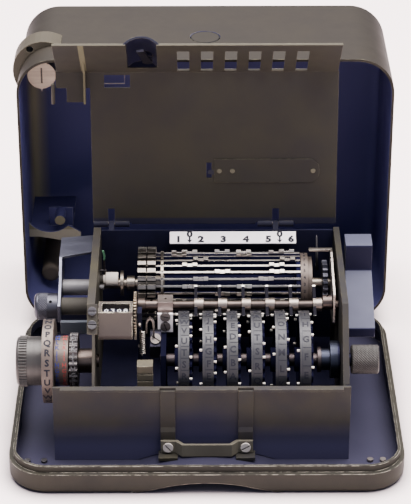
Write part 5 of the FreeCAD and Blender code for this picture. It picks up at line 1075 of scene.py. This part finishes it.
def counter_digits():
    step = 360 / len(DIGITS)
    for i, shown in enumerate(COUNT_SHOWN):
        x = DIGIT_FIRST_X + DIGIT_PITCH * i
        start = DIGIT_SHOWN_AT - int(shown) * step
        digits = round_rim(DIGITS, x, COUNTER_AXIS, DIGIT_RADIUS, start, step)
        body = "counter_units" if i == len(COUNT_SHOWN) - 1 else "base"
        lettered_piece("count_digits_%d" % (i + 1), body, WHITE_INK, digits,
                       COUNT_STYLE)


def strip_marks():
    digits = [(str(i + 1), on_strip(STRIP_FIRST_X + STRIP_PITCH * i, STRIP_DIGITS_UP))
              for i in range(len(WHEEL_LETTERS))]
    lettered_piece("strip_digits", "base", BLACK_INK, digits, STRIP_STYLE)
    places = [STRIP_FIRST_X + STRIP_PITCH * (i + 0.5) for i in STRIP_ZERO_GAPS]
    zeros = [("0", on_strip(x, STRIP_ZEROS_UP)) for x in places]
    lettered_piece("strip_zeros", "base", BLACK_INK, zeros, ZERO_STYLE)
    arrows = [(add_plate, STRIP_ARROW, on_strip(x, 0.0)) for x in places]
    make_piece("strip_arrows", "base", BLACK_INK, arrows)


# ======== small pieces
def join_rings(form, rings, capped=True):
    """Skin over rings of points that follow each other, with both ends closed."""
    for lower, upper in zip(rings, rings[1:]):
        for i in range(len(lower)):
            k = (i + 1) % len(lower)
            form.faces.new((lower[i], lower[k], upper[k], upper[i]))
    if capped:
        form.faces.new(rings[0][::-1])
        form.faces.new(rings[-1])


def circle(form, middle, side, other, radius, sides):
    """Ring of points round a place, on the plane of two directions."""
    angles = [2 * math.pi * i / sides for i in range(sides)]
    return [form.verts.new((middle + (side * math.cos(a) + other * math.sin(a)) * radius) * MM)
            for a in angles]


def add_turned(form, start, end, profile, sides=20):
    """Closed turned form between two points: profile is (distance along, radius)."""
    start, end = Vector(start), Vector(end)
    axis = (end - start).normalized()
    side = axis.orthogonal().normalized()
    other = axis.cross(side)
    join_rings(form, [circle(form, start + axis * distance, side, other, radius, sides)
                      for distance, radius in profile])


def add_rod(form, start, end, radius, dome=0.7):
    """Round rod with both ends rounded: dome is their height over the radius."""
    length = (Vector(end) - Vector(start)).length
    near = [(dome * radius * (1 - math.cos(math.asin(share))), radius * share)
            for share in ROD_END_STEPS]
    far = [(length - distance, reach) for distance, reach in reversed(near)]
    add_turned(form, start, end, near + far)


def add_strip(form, path, thickness, depth):
    """Closed bent strip: path is (x, y, z) points in a plane across Y, depth runs along Y."""
    rings = []
    half = Vector((0.0, depth / 2, 0.0))
    for i, point in enumerate(path):
        before = Vector(path[max(i - 1, 0)])
        beyond = Vector(path[min(i + 1, len(path) - 1)])
        run = (beyond - before).normalized()
        across = Vector((-run.z, 0.0, run.x)) * thickness / 2
        middle = Vector(point)
        corners = (middle + across - half, middle + across + half,
                   middle - across + half, middle - across - half)
        rings.append([form.verts.new(corner * MM) for corner in corners])
    join_rings(form, rings)


def add_coil(form, middle, radius, wire_radius, ends, turns, sides=8, steps=18):
    """Closed upright coil spring."""
    bottom, top = ends
    up = Vector((0, 0, 1))
    rings = []
    for i in range(turns * steps + 1):
        a = 2 * math.pi * i / steps
        out = Vector((math.cos(a), math.sin(a), 0.0))
        height = bottom + (top - bottom) * i / (turns * steps)
        centre = Vector((*middle, height)) + out * radius
        rings.append(circle(form, centre, out, up, wire_radius, sides))
    join_rings(form, rings)


def counter_pawl():
    """Bright hooked pawl that stands on the clamp block, beside the counter's gear."""
    make_piece("counter_pawl", "base", STEEL, [(add_strip, PAWL_PATH, *PAWL_SECTION)])


def gear_post_fittings():
    """Two studs and a small coil spring on the front of the counter gear's post."""
    studs = [(add_rod, (STUD_X, STUD_Y[0], z), (STUD_X, STUD_Y[1], z), STUD_RADIUS)
             for z in STUD_HEIGHTS]
    coil = (add_coil, COIL_MIDDLE, COIL_RADIUS, COIL_WIRE, COIL_ENDS, COIL_TURNS)
    hooks = [(add_rod, (STUD_X, HOOK_Y[0], z), (COIL_MIDDLE[0], HOOK_Y[1], z), HOOK_RADIUS)
             for z in COIL_ENDS]
    make_piece("gear_post_fittings", "base", BRIGHT_STEEL,
               [*studs, coil, *hooks], smooth=True)


def cover_details():
    """Stop rod at the cover's left step, sight frame in its counter window, slot arms."""
    make_piece("cover_stop_rod", "cover", LEFT_PLATE_PAINT,
               [(add_rod, *STOP_ROD)], smooth=True)
    make_piece("cover_sight_frame", "cover", COMB_STEEL,
               [(add_strip, SIGHT_PATH, *SIGHT_SECTION)])
    make_piece("cover_slot_arms", "cover", BLACK_DIAL,
               [(add_plate, SLOT_OUTLINE, on_cover)])


def drum_side_details():
    """Release lever with its green tip, and the thin index rod at the drum's right end."""
    make_piece("release_lever", "base", COMB_STEEL,
               [(add_strip, LEVER_PATH, *LEVER_SECTION), (add_rod, *LEVER_PIVOT)])
    make_piece("release_lever_tip", "base", GREEN_PAINT,
               [(add_strip, LEVER_TIP_PATH, *LEVER_SECTION)])
    make_piece("drum_index_rod", "base", ROLLER_STEEL,
               [(add_turned, *INDEX_ROD, INDEX_PROFILE), (add_rod, *INDEX_FOOT)], smooth=True)


def lid_details():
    make_piece("canister_pin", "lid", STEEL, [(add_rod, *CANISTER_PIN)], smooth=True)


def knurl_wave(value):
    """Zigzag between 0 and 1."""
    return abs(2 * (value - math.floor(value)) - 1)


def add_knurled_band(form, axis, left, right, radius, bore=None):
    """Closed band round an X axis with crossed knurling, open through a bore or solid."""
    around = KNURL_COUNT * KNURL_STEPS
    pitch = 2 * math.pi * radius / KNURL_COUNT
    rows = round((right - left) / pitch * KNURL_STEPS)
    chamfer = pitch / 2
    angles = [2 * math.pi * i / around for i in range(around)]

    def ring(x, reach):
        return [form.verts.new(Vector((x, axis[0] + reach(a) * math.cos(a),
                                       axis[1] + reach(a) * math.sin(a))) * MM)
                for a in angles]

    def ridges(x):
        across = (x - left) / pitch

        def reach(a):
            turn = a * KNURL_COUNT / (2 * math.pi)
            ridge = min(knurl_wave(turn + across), knurl_wave(turn - across))
            return radius - KNURL_DEPTH * (1 - ridge)
        return reach

    rings = [ring(left, lambda a: bore)] if bore else []
    rings.append(ring(left, lambda a: radius - chamfer))
    for row in range(rows + 1):
        x = left + chamfer + (right - left - 2 * chamfer) * row / rows
        rings.append(ring(x, ridges(x)))
    rings.append(ring(right, lambda a: radius - chamfer))
    if bore:
        rings += [ring(right, lambda a: bore), rings[0]]
    join_rings(form, rings, capped=not bore)


def knurled_knobs():
    knob = make_piece("reset_knob_knurled", "reset_shaft", KNURLED_ALLOY,
                      [(add_knurled_band, WHEEL_AXIS, *RESET_KNURL)])
    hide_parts("reset_knob")
    make_piece("feed_knob_knurl", "tape_feed", BLUE_STEEL,
               [(add_knurled_band, FEED_AXIS, *FEED_KNURL)])


# ======== camera, floor and light
def make_camera():
    data = bpy.data.cameras.new("camera")
    data.sensor_width = SENSOR_MM
    data.lens = FOCAL_PIXELS / IMAGE_HEIGHT * SENSOR_MM
    data.clip_start, data.clip_end = CAMERA_CLIP
    camera = new_object("camera", data)
    place = Vector(CAMERA_PLACE) * MM
    aim = Vector(CAMERA_AIM) * MM
    turn = (aim - place).to_track_quat("-Z", "Y").to_matrix().to_4x4()
    roll = Matrix.Rotation(math.radians(CAMERA_ROLL), 4, "Z")
    camera.matrix_world = Matrix.Translation(place) @ turn @ roll
    bpy.context.scene.camera = camera


def make_floor():
    bpy.ops.mesh.primitive_plane_add(size=FLOOR_SIZE, location=FLOOR_PLACE)
    floor = bpy.context.object
    floor.name = "floor"
    material, tree = new_material("pale_floor")
    # contact shadow painted into the floor's colour near the object
    shelter = add(tree, "AmbientOcclusion", samples=8)
    set_inputs(shelter, Distance=FLOOR_SHADE_REACH)
    open_floor = ramp(tree, shelter.outputs["AO"], *FLOOR_SHADE_RANGE)
    tone = blend_colour(tree, open_floor, FLOOR_SHADE, FLOOR_TONE)
    finish_shader(tree, tone, FLOOR_ROUGHNESS, 0.0, None)
    floor.data.materials.append(material)


def make_lights():
    for name, place, aim, size, power, colour in LAMPS:
        data = bpy.data.lights.new(name, "AREA")
        data.shape = "RECTANGLE"
        data.size, data.size_y = size
        data.energy = power
        data.color = colour
        light = new_object(name, data)
        light.location = place
        turn = (Vector(aim) - Vector(place)).to_track_quat("-Z", "Y")
        light.rotation_euler = turn.to_euler()
    world = bpy.data.worlds.new("room")
    world.use_nodes = True
    room = world.node_tree.nodes["Background"]
    set_inputs(room, Color=ROOM_TONE, Strength=ROOM_STRENGTH)
    bpy.context.scene.world = world


def main():
    make_camera()
    dress_nodes()
    wheel_lettering()
    setting_lettering()
    drum_numbers()
    counter_digits()
    strip_marks()
    counter_pawl()
    gear_post_fittings()
    cover_details()
    drum_side_details()
    lid_details()
    knurled_knobs()
    make_floor()
    make_lights()


main()
